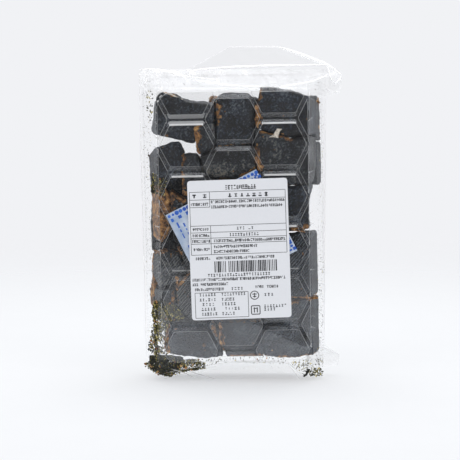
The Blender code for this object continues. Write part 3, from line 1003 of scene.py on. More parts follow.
def scatter_tree():
    """Flakes strewn over zones, as thick and as coarse as each zone's own values say."""
    tree = bpy.data.node_groups.new("crumb scatter", "GeometryNodeTree")
    tree.interface.new_socket("Zones", in_out="INPUT", socket_type="NodeSocketGeometry")
    for label, kind in (
        ("Flake", "NodeSocketObject"),
        ("Smallest", "NodeSocketFloat"),
        ("Largest", "NodeSocketFloat"),
        ("Gather", "NodeSocketFloat"),
        ("Seed", "NodeSocketInt"),
        ("Material", "NodeSocketMaterial"),
    ):
        tree.interface.new_socket(label, in_out="INPUT", socket_type=kind)
    tree.interface.new_socket("Geometry", in_out="OUTPUT", socket_type="NodeSocketGeometry")
    given = add_node(tree, "NodeGroupInput").outputs
    thick = add_node(
        tree, "GeometryNodeInputNamedAttribute", {"data_type": "FLOAT"}, {"Name": "thick"}
    )
    gather = add_node(tree, "ShaderNodeTexNoise", inputs={"Scale": given["Gather"], "Detail": 2.0})
    clumped = add_node(
        tree,
        "ShaderNodeMapRange",
        inputs={"Value": gather.outputs["Fac"], "From Min": 0.4, "From Max": 0.6, "To Min": 0.15, "To Max": 1.85},
    )
    density = add_node(
        tree,
        "ShaderNodeMath",
        {"operation": "MULTIPLY"},
        {0: thick.outputs["Attribute"], 1: clumped.outputs[0]},
    )
    points = add_node(
        tree,
        "GeometryNodeDistributePointsOnFaces",
        inputs={"Mesh": given["Zones"], "Density": density.outputs[0], "Seed": given["Seed"]},
    )
    coarse = add_node(
        tree, "GeometryNodeInputNamedAttribute", {"data_type": "FLOAT"}, {"Name": "coarse"}
    )
    size = add_node(
        tree,
        "FunctionNodeRandomValue",
        {"data_type": "FLOAT"},
        {2: given["Smallest"], 3: given["Largest"], "Seed": given["Seed"]},
    )
    scaled = add_node(
        tree,
        "ShaderNodeMath",
        {"operation": "MULTIPLY"},
        {0: size.outputs[1], 1: coarse.outputs["Attribute"]},
    )
    turn = add_node(
        tree,
        "FunctionNodeRandomValue",
        {"data_type": "FLOAT_VECTOR"},
        {0: (0, 0, 0), 1: (math.tau, math.tau, math.tau), "Seed": 5},
    )
    flake = add_node(tree, "GeometryNodeObjectInfo", inputs={"Object": given["Flake"]})
    strewn = add_node(
        tree,
        "GeometryNodeInstanceOnPoints",
        inputs={
            "Points": points.outputs["Points"],
            "Instance": flake.outputs["Geometry"],
            "Rotation": turn.outputs[0],
            "Scale": scaled.outputs[0],
        },
    )
    tone = add_node(tree, "FunctionNodeRandomValue", {"data_type": "FLOAT"}, {"Seed": 9})
    toned = add_node(
        tree,
        "GeometryNodeStoreNamedAttribute",
        {"data_type": "FLOAT", "domain": "INSTANCE"},
        {"Geometry": strewn.outputs[0], "Name": "tone", "Value": tone.outputs[1]},
    )
    real = add_node(tree, "GeometryNodeRealizeInstances", inputs={"Geometry": toned.outputs[0]})
    coated = add_node(
        tree,
        "GeometryNodeSetMaterial",
        inputs={"Geometry": real.outputs[0], "Material": given["Material"]},
    )
    add_node(tree, "NodeGroupOutput", inputs={"Geometry": coated.outputs[0]})
    return tree


def flake_mesh():
    """One curled scrap, a millimetre across: a bent five-sided plate."""
    solid = bmesh.new()
    rings = []
    for side in (-0.5, 0.5):
        ring = []
        for at, reach in enumerate((0.55, 0.42, 0.5, 0.36, 0.48)):
            angle = math.tau * at / 5
            curl = 0.35 * (reach * math.cos(angle)) ** 2
            spot = (reach * math.cos(angle), 0.8 * reach * math.sin(angle), curl + side * FLAKE_GAUGE)
            ring.append(solid.verts.new(spot))
        rings.append(ring)
    solid.faces.new(rings[0][::-1])
    solid.faces.new(rings[1])
    for at in range(5):
        after = (at + 1) % 5
        solid.faces.new((rings[0][at], rings[0][after], rings[1][after], rings[1][at]))
    return mesh_of("flake", solid)


def zone_mesh(kind):
    """The zones that hold this kind, each one face with its own density and coarseness."""
    solid = bmesh.new()
    thick = solid.faces.layers.float.new("thick")
    coarse = solid.faces.layers.float.new("coarse")
    for corners, kinds, size in CRUMB_ZONES:
        if kind in kinds:
            face = solid.faces.new([solid.verts.new(at_pack(*corner)) for corner in corners])
            face[thick] = kinds[kind] * 1e4
            face[coarse] = size * MM
    return mesh_of("zones", solid)


flake = new_piece("flake", flake_mesh())
strew = scatter_tree()
for seed, (kind, (sizes, tones, slot)) in enumerate(CRUMB_KINDS.items()):
    values = {
        "Flake": flake,
        "Smallest": sizes[0],
        "Largest": sizes[1],
        "Gather": 1 / (CLUMP * MM),
        "Seed": seed + 3,
        "Material": flake_material(f"{kind}_flakes", tones),
    }
    crumbs = grow(f"crumbs_{kind}", strew, values, zone_mesh(kind))
    crumbs.data.shade_flat()
    settle(crumbs)
bpy.data.objects.remove(flake)


# ---- Sachet ----
# A flat freshness sachet between the tray's floor and the film, sealed on all four sides. White film,
# printed blue with spots along two edges and rows of dashes.

SACHET_MIDDLE = (-1.8, -3.2)
SACHET_SIZE = (60.0, 54.0)
SACHET_TURN = math.radians(27.0)
SACHET_FULL = 0.9  # how thick it is in its middle, mm
SACHET_SEAM = 4.0
SACHET_BACK = 16.0

# White polyester film with a bluish cast: soft gloss, and fine wrinkles across it.
sachet_white, tree, output = new_material("white_polyester_sachet")
place = add_node(tree, "ShaderNodeTexCoord").outputs["Object"]
cast = add_node(tree, "ShaderNodeTexNoise", inputs={"Vector": place, "Scale": 120.0, "Detail": 4.0})
shades = add_node(tree, "ShaderNodeValToRGB", inputs={"Fac": cast.outputs["Fac"]})
shades.color_ramp.elements[0].position = 0.35
shades.color_ramp.elements[0].color = linear("#9DB0CA")
shades.color_ramp.elements[1].position = 0.65
shades.color_ramp.elements[1].color = linear("#CCD6E4")
drawn = add_node(
    tree, "ShaderNodeMapping", inputs={"Vector": place, "Rotation": (0, SACHET_TURN, 0), "Scale": (1, 1, 4)}
)
wrinkles = add_node(
    tree, "ShaderNodeTexNoise", inputs={"Vector": drawn.outputs[0], "Scale": 140.0, "Detail": 4.0}
)
bump = add_node(
    tree,
    "ShaderNodeBump",
    inputs={"Strength": 0.5, "Distance": 0.6 * MM, "Height": wrinkles.outputs["Fac"]},
)
skin = add_node(
    tree,
    "ShaderNodeBsdfPrincipled",
    inputs={
        "Base Color": shades.outputs["Color"],
        "Roughness": 0.32,
        "IOR": 1.55,
        "Normal": bump.outputs["Normal"],
    },
)
tree.links.new(skin.outputs[0], output.inputs["Surface"])


def ink(name, dark, light, scale):
    """Printed ink: nearly even, thinner here and there."""
    material, tree, output = new_material(name)
    place = add_node(tree, "ShaderNodeTexCoord").outputs["Object"]
    cover = add_node(tree, "ShaderNodeTexNoise", inputs={"Vector": place, "Scale": scale, "Detail": 3.0})
    shades = add_node(tree, "ShaderNodeValToRGB", inputs={"Fac": cover.outputs["Fac"]})
    shades.color_ramp.elements[0].position = 0.35
    shades.color_ramp.elements[0].color = linear(dark)
    shades.color_ramp.elements[1].position = 0.7
    shades.color_ramp.elements[1].color = linear(light)
    skin = add_node(
        tree,
        "ShaderNodeBsdfPrincipled",
        inputs={"Base Color": shades.outputs["Color"], "Roughness": 0.45, "IOR": 1.5},
    )
    tree.links.new(skin.outputs[0], output.inputs["Surface"])
    return material


def sachet_place(across, up, toward):
    """A point of the sachet in the pack, from mm across and up it and in front of the middle plane."""
    cos, sin = math.cos(SACHET_TURN), math.sin(SACHET_TURN)
    u = SACHET_MIDDLE[0] + across * cos - up * sin
    w = SACHET_MIDDLE[1] + across * sin + up * cos
    return at_pack(u, w, toward)


def sachet_rise(across, up):
    """How full the sachet is there: flat at its seams, and pillowed inside them."""
    inside = [
        min(1.0, max(0.0, (size / 2 - SACHET_SEAM - abs(at)) / 12.0))
        for at, size in zip((across, up), SACHET_SIZE)
    ]
    return 0.12 + SACHET_FULL * math.sin(inside[0] * math.pi / 2) * math.sin(inside[1] * math.pi / 2)


solid = bmesh.new()
steps = [round(size / 1.5) for size in SACHET_SIZE]
sides = []
for front in (0, 1):
    rows = []
    for row in range(steps[1] + 1):
        up = SACHET_SIZE[1] * (row / steps[1] - 0.5)
        spots = [SACHET_SIZE[0] * (column / steps[0] - 0.5) for column in range(steps[0] + 1)]
        rows.append(
            [
                solid.verts.new(sachet_place(across, up, SACHET_BACK + front * sachet_rise(across, up)))
                for across in spots
            ]
        )
    sides.append(rows)
    for low, high in zip(rows, rows[1:]):
        for at in range(steps[0]):
            corners = (low[at], low[at + 1], high[at + 1], high[at])
            solid.faces.new(corners if front else corners[::-1])
back, face = ([*rows[0], *[row[-1] for row in rows[1:]], *rows[-1][-2::-1], *[row[0] for row in rows[-2:0:-1]]]
              for rows in sides)
for at, (corner, above) in enumerate(zip(back, face)):
    after = (at + 1) % len(back)
    solid.faces.new((corner, back[after], face[after], above))
bmesh.ops.recalc_face_normals(solid, faces=solid.faces)
sachet = settle(new_piece("sachet", mesh_of("sachet", solid), sachet_white))


def plates(name, outlines, place, gauge, material):
    """Thin closed plates, one for each outline, that lie on what place maps them to."""
    solid = bmesh.new()
    for outline in outlines:
        low = [solid.verts.new(place(across, up, 0.0)) for across, up in outline]
        high = [solid.verts.new(place(across, up, gauge)) for across, up in outline]
        solid.faces.new(low[::-1])
        solid.faces.new(high)
        for at in range(len(outline)):
            after = (at + 1) % len(outline)
            solid.faces.new((low[at], low[after], high[after], high[at]))
    return new_piece(name, mesh_of(name, solid), material, smooth=False)


def block(across, up, wide, tall):
    """The outline of an upright block about its middle."""
    return [
        (across + side * wide / 2, up + rise * tall / 2)
        for side, rise in ((-1, -1), (1, -1), (1, 1), (-1, 1))
    ]


def spot_outline(across, up, radius, sides=10):
    return [
        (across + radius * math.cos(math.tau * at / sides), up + radius * math.sin(math.tau * at / sides))
        for at in range(sides)
    ]


def on_sachet(across, up, lift):
    return sachet_place(across, up, SACHET_BACK + sachet_rise(across, up) + 0.02 + lift)


blue = []
chance = random.Random(3)
half_wide, half_tall = SACHET_SIZE[0] / 2, SACHET_SIZE[1] / 2
for at in range(24):
    across = -half_wide + 1.6 + at * 2.5
    blue.append(spot_outline(across, half_tall - 1.7, chance.uniform(0.8, 1.35)))
    if chance.random() < 0.8:
        blue.append(block(across + 0.7, half_tall - 4.6, chance.uniform(1.2, 2.3), chance.uniform(1.2, 2.6)))
    blue.append(block(across, -half_tall + 2.0, chance.uniform(1.0, 2.4), chance.uniform(1.0, 2.2)))
for at in range(19):
    up = -half_tall + 4.0 + at * 2.6
    blue.append(block(half_wide - 1.8, up, chance.uniform(1.6, 2.6), chance.uniform(1.2, 2.6)))
for column, across in enumerate((-26.0, -22.6, -19.4, 21.0, 24.2)):
    up = -half_tall + 6
    while up < half_tall - 10:
        tall = chance.uniform(1.0, 4.2)
        if chance.random() < 0.72:
            blue.append(block(across, up + tall / 2, chance.uniform(0.5, 1.1), tall))
        up += tall + chance.uniform(0.7, 1.6)
sachet_blue = ink("royal_blue_flexo_ink", "#1B50B4", "#3A74D2", 300.0)
settle(plates("sachet_print", blue, on_sachet, 0.02, sachet_blue))


# ---- Film ----
# Clear polypropylene film, wrapped tight round the tray and welded shut. It lies flat over the pads, slopes
# back over the tray's ends in creases, and ends in a flap at each end, with folded corners standing out.

# Stations up the film: height, front and back (mm behind the middle plane), left and right reach at the
# back, and how much narrower each side is in front.
FILM_STATIONS = (
    (0.0, -7.0, 13.0, 46.0, 48.0, 2.0),
    (0.9, -8.6, 15.0, 49.5, 51.0, 3.0),
    (3.5, -10.5, 16.4, 52.0, 53.4, 5.0),
    (8.0, -13.7, 17.0, 53.0, 54.4, 7.6),
    (12.0, -16.5, 17.0, 53.5, 54.6, 9.2),
    (13.6, -17.0, 17.0, 53.6, 54.6, 9.5),
    (60.0, -17.0, 17.0, 54.4, 54.6, 9.5),
    (120.0, -17.0, 17.0, 55.8, 54.6, 9.5),
    (172.2, -17.0, 17.0, 57.2, 54.6, 9.5),
    (174.0, -15.8, 17.0, 57.3, 54.6, 9.0),
    (176.0, -10.4, 17.0, 57.0, 54.5, 7.4),
    (178.2, -4.2, 17.0, 56.0, 54.3, 5.4),
    (180.4, 1.8, 16.6, 54.8, 54.0, 3.4),
    (182.4, 6.6, 15.8, 53.4, 53.6, 1.8),
    (184.0, 9.8, 14.8, 52.2, 53.2, 1.0),
    (185.2, 11.4, 13.8, 51.0, 52.8, 0.6),
)
FILM_EASE = (1.6, 1.4)  # how much wider the film lies at the back than it was cut, left and right
FILM_STEP = 0.9
FILM_CORNER = 2.4
FILM_FRONT_STEPS = 112
FILM_SIDE_STEPS = 16
FILM_ARC_STEPS = 4
FILM_ENDS = (13.6, 172.2)  # the heights between which the film lies flat on the tray's floor

# Biaxially drawn polypropylene: clear and glossy, with fine draw lines, whitened where it is creased, and whitened
# evenly over its top end as painted highlight.
film = clear_plastic("clear_polypropylene_film", 0.06, 0.3, 0.85, 1.0, 0.045, 0.006, 45.0, 0.05, 160.0)
spare_film = clear_plastic("loose_polypropylene_film", 0.03, 0.10, 0.9, 1.0, 0.08, 0.005, 45.0, 0.2, 120.0)


def film_at(height):
    """The film's measures at this height, from the stations on either side of it."""
    for below, above in zip(FILM_STATIONS, FILM_STATIONS[1:]):
        if height <= above[0]:
            share = (height - below[0]) / (above[0] - below[0])
            return [a + (b - a) * share for a, b in zip(below, above)][1:]
    return list(FILM_STATIONS[-1][1:])


def film_ring(height):
    """One level outline of the film, as (x from the tray's middle, y) in mm, counter-clockwise from above."""
    front, back, left, right, narrow = film_at(height)
    left, right, narrow = left + FILM_EASE[0], right + FILM_EASE[1], narrow + sum(FILM_EASE) / 2
    half_depth = (back - front) / 2
    radius = min(FILM_CORNER, 0.4 * half_depth)
    half_wide = (left + right) / 2
    ring = []
    arcs = ((1, -1, -90), (1, 1, 0), (-1, 1, 90), (-1, -1, 180))
    last = None
    for turn in range(5):
        side, rear, start = arcs[turn % 4]
        arc = []
        for step in range(FILM_ARC_STEPS + 1):
            angle = math.radians(start + 90 * step / FILM_ARC_STEPS)
            arc.append(
                (
                    side * (half_wide - radius) + radius * math.cos(angle),
                    rear * (half_depth - radius) + radius * math.sin(angle),
                )
            )
        if last:
            steps = FILM_SIDE_STEPS if turn % 2 else FILM_FRONT_STEPS
            for step in range(1, steps):
                ring.append(tuple(a + (b - a) * step / steps for a, b in zip(last, arc[0])))
        if turn < 4:
            ring.extend(arc)
        last = arc[-1]
    middle = (right - left) / 2
    out = []
    for x, y in ring:
        forward = (half_depth - y) / (2 * half_depth)
        out.append((middle + x * (1 - narrow * forward / half_wide), (front + back) / 2 + y))
    return out


def film_relief(x, y, height):
    """How far the film stands in (-) or out (+) at a point, mm, and how white it is with creasing, with an even
    painted highlight over the top end.
    """
    front, back, *_ = film_at(height)
    forward = (y - back) / (front - back)
    low, high = FILM_ENDS
    past = max(0.0, low - height, height - high)
    spot = Vector((x, y, height))
    if past == 0.0 and forward > 0.5:
        wave = 0.10 * noise.noise(Vector((x / 26, 0, height / 34)))
        tilt = facet_lift(x, height)
        return wave + tilt, 0.0
    if past == 0.0:
        press = 0.9 * noise.noise(spot / 22) + 0.35 * noise.noise(Vector((x / 5, y / 9, height / 14)))
        return press * min(1.0, (1 - forward) * 3), 0.0
    grow = min(1.0, past / 5)
    fan = Vector((x / 7.0 + height / 9, y / 26, height / 30))
    folds = 0.8 * noise.noise(fan) + 0.45 * noise.noise(fan * 2.3)
    white = max(0.0, abs(noise.noise(fan * 1.6)) - 0.25)
    # Over the top end an even whitening is painted highlight; over the low end the film mostly reflects less.
    return folds * grow, (0.07 + 0.5 * white if height > high else 1.15 * white - 0.7) * grow


# Facets where the film is stretched off the tray and looks another way: corners (x, height) and lift, mm.
FILM_FACETS = (
    (((8.6, 34.8), (25.4, 35.3), (40.7, 31.3), (43.5, 29.3), (43.5, 18.8), (33.8, 22.5), (19.8, 28.8)), 1.5),
    (((6.0, 34.5), (16.0, 37.0), (15.5, 33.0)), 0.25),
    (((19.0, 36.5), (34.0, 35.5), (33.0, 32.8), (21.0, 33.0)), 0.25),
    (((-30.0, 68.0), (-44.0, 66.5), (-44.0, 71.0), (-27.0, 76.0)), 0.22),
)


def facet_lift(x, height):
    """Each facet is a shallow ramp, highest along its lower side, so that it faces a little upwards."""
    lift = 0.0
    for corners, rise in FILM_FACETS:
        inside = 99.0
        for start, end in zip(corners, (*corners[1:], corners[0])):
            along = Vector(end) - Vector(start)
            across = Vector((along.y, -along.x)).normalized()
            inside = min(inside, (Vector((x, height)) - Vector(start)).dot(across))
        if inside > 0:
            top = max(corner[1] for corner in corners)
            bottom = min(corner[1] for corner in corners)
            lift += rise * (top - height) / (top - bottom) * min(1.0, inside / 0.6)
    return lift


def build_sleeve():
    heights = []
    for below, above in zip(FILM_STATIONS, FILM_STATIONS[1:]):
        steps = max(1, round((above[0] - below[0]) / FILM_STEP))
        heights += [below[0] + (above[0] - below[0]) * step / steps for step in range(steps)]
    heights.append(FILM_STATIONS[-1][0])
    solid = bmesh.new()
    crease_and_painted_light = solid.verts.layers.float.new("crease_and_painted_light")
    rings = []
    for height in heights:
        outline = film_ring(height)
        middle = Vector((sum(x for x, _ in outline), sum(y for _, y in outline))) / len(outline)
        ring = []
        for at, (x, y) in enumerate(outline):
            before, after = outline[at - 1], outline[(at + 1) % len(outline)]
            out = Vector((after[1] - before[1], before[0] - after[0])).normalized()
            lift, white = film_relief(x, y, height)
            if height in (heights[0], heights[-1]):
                lift = 0.0
            spot = Vector((x, y)) + out * lift
            vert = solid.verts.new((MIDDLE_X + spot.x * MM, spot.y * MM, height * MM))
            vert[crease_and_painted_light] = white
            ring.append(vert)
        rings.append(ring)
    for low, high in zip(rings, rings[1:]):
        for at in range(len(low)):
            after = (at + 1) % len(low)
            solid.faces.new((low[at], low[after], high[after], high[at]))
    solid.faces.new(rings[0][::-1])
    solid.faces.new(rings[-1])
    return mesh_of("film_sleeve", solid)


sleeve = new_piece("film_sleeve", build_sleeve(), film)
sleeve.data.materials.append(spare_film)
for face in sleeve.data.polygons:
    height, toward = face.center.z / MM, -face.center.y / MM
    face.material_index = 0 if FILM_ENDS[0] < height < FILM_ENDS[1] and toward > 15.0 else 1
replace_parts(settle(sleeve), "film_pack")

# The end flaps are trapeziums, because the sides were tucked in before the flap was folded over. Each has
# the y and height of its root and tip, and its sides as (x, share of the way up).
FLAPS = {
    "film_top_flap": {
        "root": (12.3, 183.0),
        "tip": (16.4, 198.9),
        "left": ((-36.0, 0.0), (-26.0, 0.2), (-2.0, 1.0)),
        "right": ((56.6, 0.0), (55.8, 0.3), (44.0, 0.62), (26.3, 1.0)),
    },
    "film_low_flap": {
        "root": (-9.0, 0.8),
        "tip": (-16.9, 12.0),
        "left": ((-42.0, 0.0), (-2.0, 1.0)),
        "right": ((39.0, 0.0), (31.0, 1.0)),
    },
}


def along_side(side, share):
    for (near_x, near), (far_x, far) in zip(side, side[1:]):
        if share <= far:
            return near_x + (far_x - near_x) * (share - near) / (far - near)
    return side[-1][0]


def flap_mesh(name, root, tip, left, right):
    """A flap as a grid from its root to its tip, rippled along its length."""
    solid = bmesh.new()
    crease_and_painted_light = solid.verts.layers.float.new("crease_and_painted_light")
    rows = []
    for row in range(15):
        share = row / 14
        start, end = along_side(left, share), along_side(right, share)
        line = []
        for column in range(61):
            x = start + (end - start) * column / 60
            ripple = 0.5 * noise.noise(Vector((x / 9 + share, share * 1.3, 3))) * share
            y = root[0] + (tip[0] - root[0]) * share + ripple
            z = root[1] + (tip[1] - root[1]) * share
            vert = solid.verts.new((MIDDLE_X + x * MM, y * MM, z * MM))
            vert[crease_and_painted_light] = 0.12 if row == 14 or column in (0, 60) else 0.0
            line.append(vert)
        rows.append(line)
    for low, high in zip(rows, rows[1:]):
        for at in range(60):
            solid.faces.new((low[at], low[at + 1], high[at + 1], high[at]))
    return mesh_of(name, solid)


for name, sizes in FLAPS.items():
    flap = new_piece(name, flap_mesh(name, **sizes), spare_film)
    layers = flap.modifiers.new("two layers of film", "SOLIDIFY")
    layers.thickness = 0.25 * MM
    layers.offset = 0.0
    make_plain(flap).data.set_sharp_from_angle(angle=math.radians(40))
    settle(flap)

# The folded corners: each is a wedge of film, wide at its root in the sleeve and pressed flat at its tip.
# Corners are (x, height), y is how far behind the middle plane it lies, and full is its half thickness.
FILM_EARS = {
    "film_top_ear": {
        "root": ((44.0, 168.0), (50.5, 168.0), (50.5, 180.0), (44.0, 180.0)),
        "tip": ((62.8, 171.0), (64.5, 176.0), (64.5, 181.5), (60.5, 184.6)),
        "y": 11.5,
        "full": 3.5,
    },
    "film_low_ear": {
        "root": ((44.0, 4.5), (49.5, 4.5), (50.5, 20.0), (44.0, 20.0)),
        "tip": ((62.6, 5.4), (64.0, 8.0), (64.0, 12.4)),
        "y": 11.0,
        "full": 4.0,
    },
    "film_left_ear": {
        "root": ((-44.0, 168.0), (-51.5, 168.0), (-51.5, 180.0), (-44.0, 180.0)),
        "tip": ((-57.5, 177.0), (-57.5, 182.0), (-55.0, 185.0)),
        "y": 11.5,
        "full": 3.5,
    },
}


def ear_mesh(name, root, tip, y, full):
    solid = bmesh.new()
    for outline, half in ((root, full), (tip, 0.4)):
        for x, z in outline:
            for side in (-half, half):
                solid.verts.new((MIDDLE_X + x * MM, (y + side) * MM, z * MM))
    made = bmesh.ops.convex_hull(solid, input=solid.verts)
    bmesh.ops.delete(solid, geom=list(set(made["geom_interior"])), context="VERTS")
    bmesh.ops.recalc_face_normals(solid, faces=solid.faces)
    crease_and_painted_light = solid.verts.layers.float.new("crease_and_painted_light")
    for vert in solid.verts:
        vert[crease_and_painted_light] = 0.10
    return mesh_of(name, solid)


for name, sizes in FILM_EARS.items():
    ear = new_piece(name, ear_mesh(name, **sizes), spare_film)
    rounded = ear.modifiers.new("rounded", "BEVEL")
    rounded.width = 0.3 * MM
    rounded.segments = 2
    rounded.limit_method = "ANGLE"
    make_plain(ear).data.set_sharp_from_angle(angle=math.radians(40))
    settle(ear)

# Folds and welds: (x, y, height) in mm along each, its half width in mm, and how white it is.
FILM_FOLDS = (
    (((26.3, 15.9, 198.6), (42.0, 14.8, 193.2), (55.8, 12.6, 187.6), (64.2, 11.2, 181.9)), 1.1, 0.3),
    (((-27.0, 4.0, 180.6), (-25.0, 6.6, 184.2), (-8.0, 8.0, 186.0), (20.0, 9.0, 187.2), (55.0, 10.0, 187.8)),
     0.8, 0.35),
    (((-57.0, 9.0, 185.2), (-44.0, 8.0, 184.6), (-30.0, 6.0, 181.0), (-10.0, 2.0, 179.0)), 0.7, 0.35),
    (((-26.0, 1.0, 179.4), (-16.0, -6.0, 177.4), (2.0, -10.5, 175.4), (24.0, -12.0, 174.8)), 0.9, 0.30),
    (((24.0, -12.0, 174.8), (44.0, -6.0, 177.6), (55.8, 4.0, 182.0)), 0.7, 0.35),
    (((55.8, 11.0, 187.6), (58.2, 9.0, 178.8), (61.0, 9.6, 177.0), (64.4, 11.0, 181.4)), 0.45, 0.4),
    (((54.6, 7.8, 174.0), (58.0, 9.0, 172.0), (62.8, 10.8, 171.2)), 0.45, 0.35),
    (((-57.3, 14.5, 184.0), (-56.4, 14.8, 130.0), (-54.8, 14.8, 60.0), (-53.8, 14.6, 10.0)), 0.28, 0.30),
    (((54.8, 14.6, 172.0), (54.9, 14.8, 100.0), (54.8, 14.6, 14.0)), 0.28, 0.30),
    (((-2.0, -17.0, 12.2), (14.0, -17.2, 12.4), (31.0, -17.0, 12.2)), 0.22, 0.30),
    (((31.0, -17.0, 12.2), (36.0, -13.8, 7.6), (41.5, -9.4, 1.6)), 0.35, 0.35),
    (((-2.0, -17.0, 12.2), (-20.0, -12.8, 8.8), (-41.0, -10.9, 4.6)), 0.20, 0.25),
    (((-27.0, -12.2, 5.6), (-19.0, -10.4, 2.8), (-11.5, -8.2, 0.4)), 0.35, 0.40),
    (((-38.0, -13.0, 7.4), (-30.0, -11.6, 4.6), (-24.0, -9.4, 1.4)), 0.35, 0.35),
    (((50.5, 1.0, 19.0), (56.0, 7.4, 16.2), (63.6, 10.8, 12.4)), 0.28, 0.35),
)


def fold_tree():
    """Draws a thin tapering roll along every line of points, as wide as the line's own value says."""
    tree = bpy.data.node_groups.new("film folds", "GeometryNodeTree")
    tree.interface.new_socket("Lines", in_out="INPUT", socket_type="NodeSocketGeometry")
    tree.interface.new_socket("Step", in_out="INPUT", socket_type="NodeSocketFloat")
    tree.interface.new_socket("Material", in_out="INPUT", socket_type="NodeSocketMaterial")
    tree.interface.new_socket("Geometry", in_out="OUTPUT", socket_type="NodeSocketGeometry")
    given = add_node(tree, "NodeGroupInput").outputs
    curves = add_node(tree, "GeometryNodeMeshToCurve", inputs={"Mesh": given["Lines"]})
    fitted = add_node(
        tree,
        "GeometryNodeResampleCurve",
        {"mode": "LENGTH"},
        {"Curve": curves.outputs["Curve"], "Length": given["Step"]},
    )
    wide = add_node(tree, "GeometryNodeInputNamedAttribute", {"data_type": "FLOAT"}, {"Name": "wide"})
    along = add_node(tree, "GeometryNodeSplineParameter")
    bow = add_node(
        tree, "ShaderNodeMath", {"operation": "MULTIPLY"}, {0: along.outputs["Factor"], 1: math.pi}
    )
    bent = add_node(tree, "ShaderNodeMath", {"operation": "SINE"}, {0: bow.outputs[0]})
    taper = add_node(tree, "ShaderNodeMath", {"operation": "POWER"}, {0: bent.outputs[0], 1: 0.4})
    radius = add_node(
        tree,
        "ShaderNodeMath",
        {"operation": "MULTIPLY"},
        {0: taper.outputs[0], 1: wide.outputs["Attribute"]},
    )
    sized = add_node(
        tree,
        "GeometryNodeSetCurveRadius",
        inputs={"Curve": fitted.outputs[0], "Radius": radius.outputs[0]},
    )
    round_section = add_node(
        tree, "GeometryNodeCurvePrimitiveCircle", {"mode": "RADIUS"}, {"Resolution": 8, "Radius": 1.0}
    )
    rolls = add_node(
        tree,
        "GeometryNodeCurveToMesh",
        inputs={
            "Curve": sized.outputs[0],
            "Profile Curve": round_section.outputs["Curve"],
            "Fill Caps": True,
        },
    )
    if "Scale" in rolls.inputs:
        tree.links.new(radius.outputs[0], rolls.inputs["Scale"])
    real = add_node(tree, "GeometryNodeRealizeInstances", inputs={"Geometry": rolls.outputs[0]})
    coated = add_node(
        tree,
        "GeometryNodeSetMaterial",
        inputs={"Geometry": real.outputs[0], "Material": given["Material"]},
    )
    add_node(tree, "NodeGroupOutput", inputs={"Geometry": coated.outputs[0]})
    return tree


def smooth_run(points, steps=6):
    """Points on a smooth curve through these."""
    run = []
    padded = [points[0], *points, points[-1]]
    for a, b, c, d in zip(padded, padded[1:], padded[2:], padded[3:]):
        for step in range(steps):
            t = step / steps
            run.append(
                0.5
                * (
                    2 * Vector(b)
                    + (Vector(c) - Vector(a)) * t
                    + (2 * Vector(a) - 5 * Vector(b) + 4 * Vector(c) - Vector(d)) * t**2
                    + (3 * Vector(b) - Vector(a) - 3 * Vector(c) + Vector(d)) * t**3
                )
            )
    return [*run, Vector(points[-1])]


solid = bmesh.new()
wide = solid.verts.layers.float.new("wide")
crease_and_painted_light = solid.verts.layers.float.new("crease_and_painted_light")
for points, half, white in FILM_FOLDS:
    last = None
    for x, y, z in smooth_run(points):
        vert = solid.verts.new((MIDDLE_X + x * MM, y * MM, z * MM))
        vert[wide] = half * MM
        vert[crease_and_painted_light] = white
        if last:
            solid.edges.new((last, vert))
        last = vert
lines = mesh_of("fold_lines", solid)
folds = grow("film_folds", fold_tree(), {"Step": 1.2 * MM, "Material": film}, lines)
settle(folds)


# ---- Label ----
# A white paper label with rounded corners, stuck on the film a little askew. Its print is thermal black:
# a ruled table, lines of small marks, a plain bar pattern, a ring and a rounded square.

LABEL_TURN = math.radians(2.0)
LABEL_MIDDLE = (LABEL_LOW + LABEL_HIGH) / 2
LABEL_SIZE = (59.0, 82.8)
PRINT_GAUGE = 0.02

# Coated label paper: a cool white, nearly smooth, with a faint fibre and the least soft gloss.
paper, tree, output = new_material("coated_label_paper")
place = add_node(tree, "ShaderNodeTexCoord").outputs["Object"]
fibre = add_node(tree, "ShaderNodeTexNoise", inputs={"Vector": place, "Scale": 900.0, "Detail": 5.0})
shades = add_node(tree, "ShaderNodeValToRGB", inputs={"Fac": fibre.outputs["Fac"]})
shades.color_ramp.elements[0].position = 0.3
shades.color_ramp.elements[0].color = linear("#E2E4E8")
shades.color_ramp.elements[1].position = 0.7
shades.color_ramp.elements[1].color = linear("#E5E6EA")
bump = add_node(
    tree,
    "ShaderNodeBump",
    inputs={"Strength": 0.15, "Distance": 0.05 * MM, "Height": fibre.outputs["Fac"]},
)
skin = add_node(
    tree,
    "ShaderNodeBsdfPrincipled",
    inputs={
        "Base Color": shades.outputs["Color"],
        "Roughness": 0.5,
        "IOR": 1.5,
        "Normal": bump.outputs["Normal"],
    },
)
tree.links.new(skin.outputs[0], output.inputs["Surface"])
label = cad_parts["label"]
label.data.materials.clear()
label.data.materials.append(paper)


def on_label(across, up, lift):
    """A point on the label's face, from mm across and up it, and lifted off it towards the front."""
    cos, sin = math.cos(LABEL_TURN), math.sin(LABEL_TURN)
    return Vector(
        (
            LABEL_MIDDLE.x + (across * cos - up * sin) * MM,
            LABEL_LOW.y - (0.02 + lift) * MM,
            LABEL_MIDDLE.z + (across * sin + up * cos) * MM,
        )
    )


thermal_black = ink("thermal_black_print", "#222225", "#4A4B50", 1500.0)
thermal_grey = ink("fine_thermal_print", "#5C5E64", "#85878E", 1500.0)

# The table and the box of figures: levels of their rules, from the label's middle, and their sides.
TABLE_SIDES = (-28.4, 28.0)
TABLE_RULES = (34.6, 30.0, 14.6, 10.6, 7.2, 3.9, -2.6)
TABLE_DIVIDE = -16.6
BOX_SIDES = (-27.2, 4.2)
BOX_RULES = (-25.2, -40.2)
RULE = 0.28

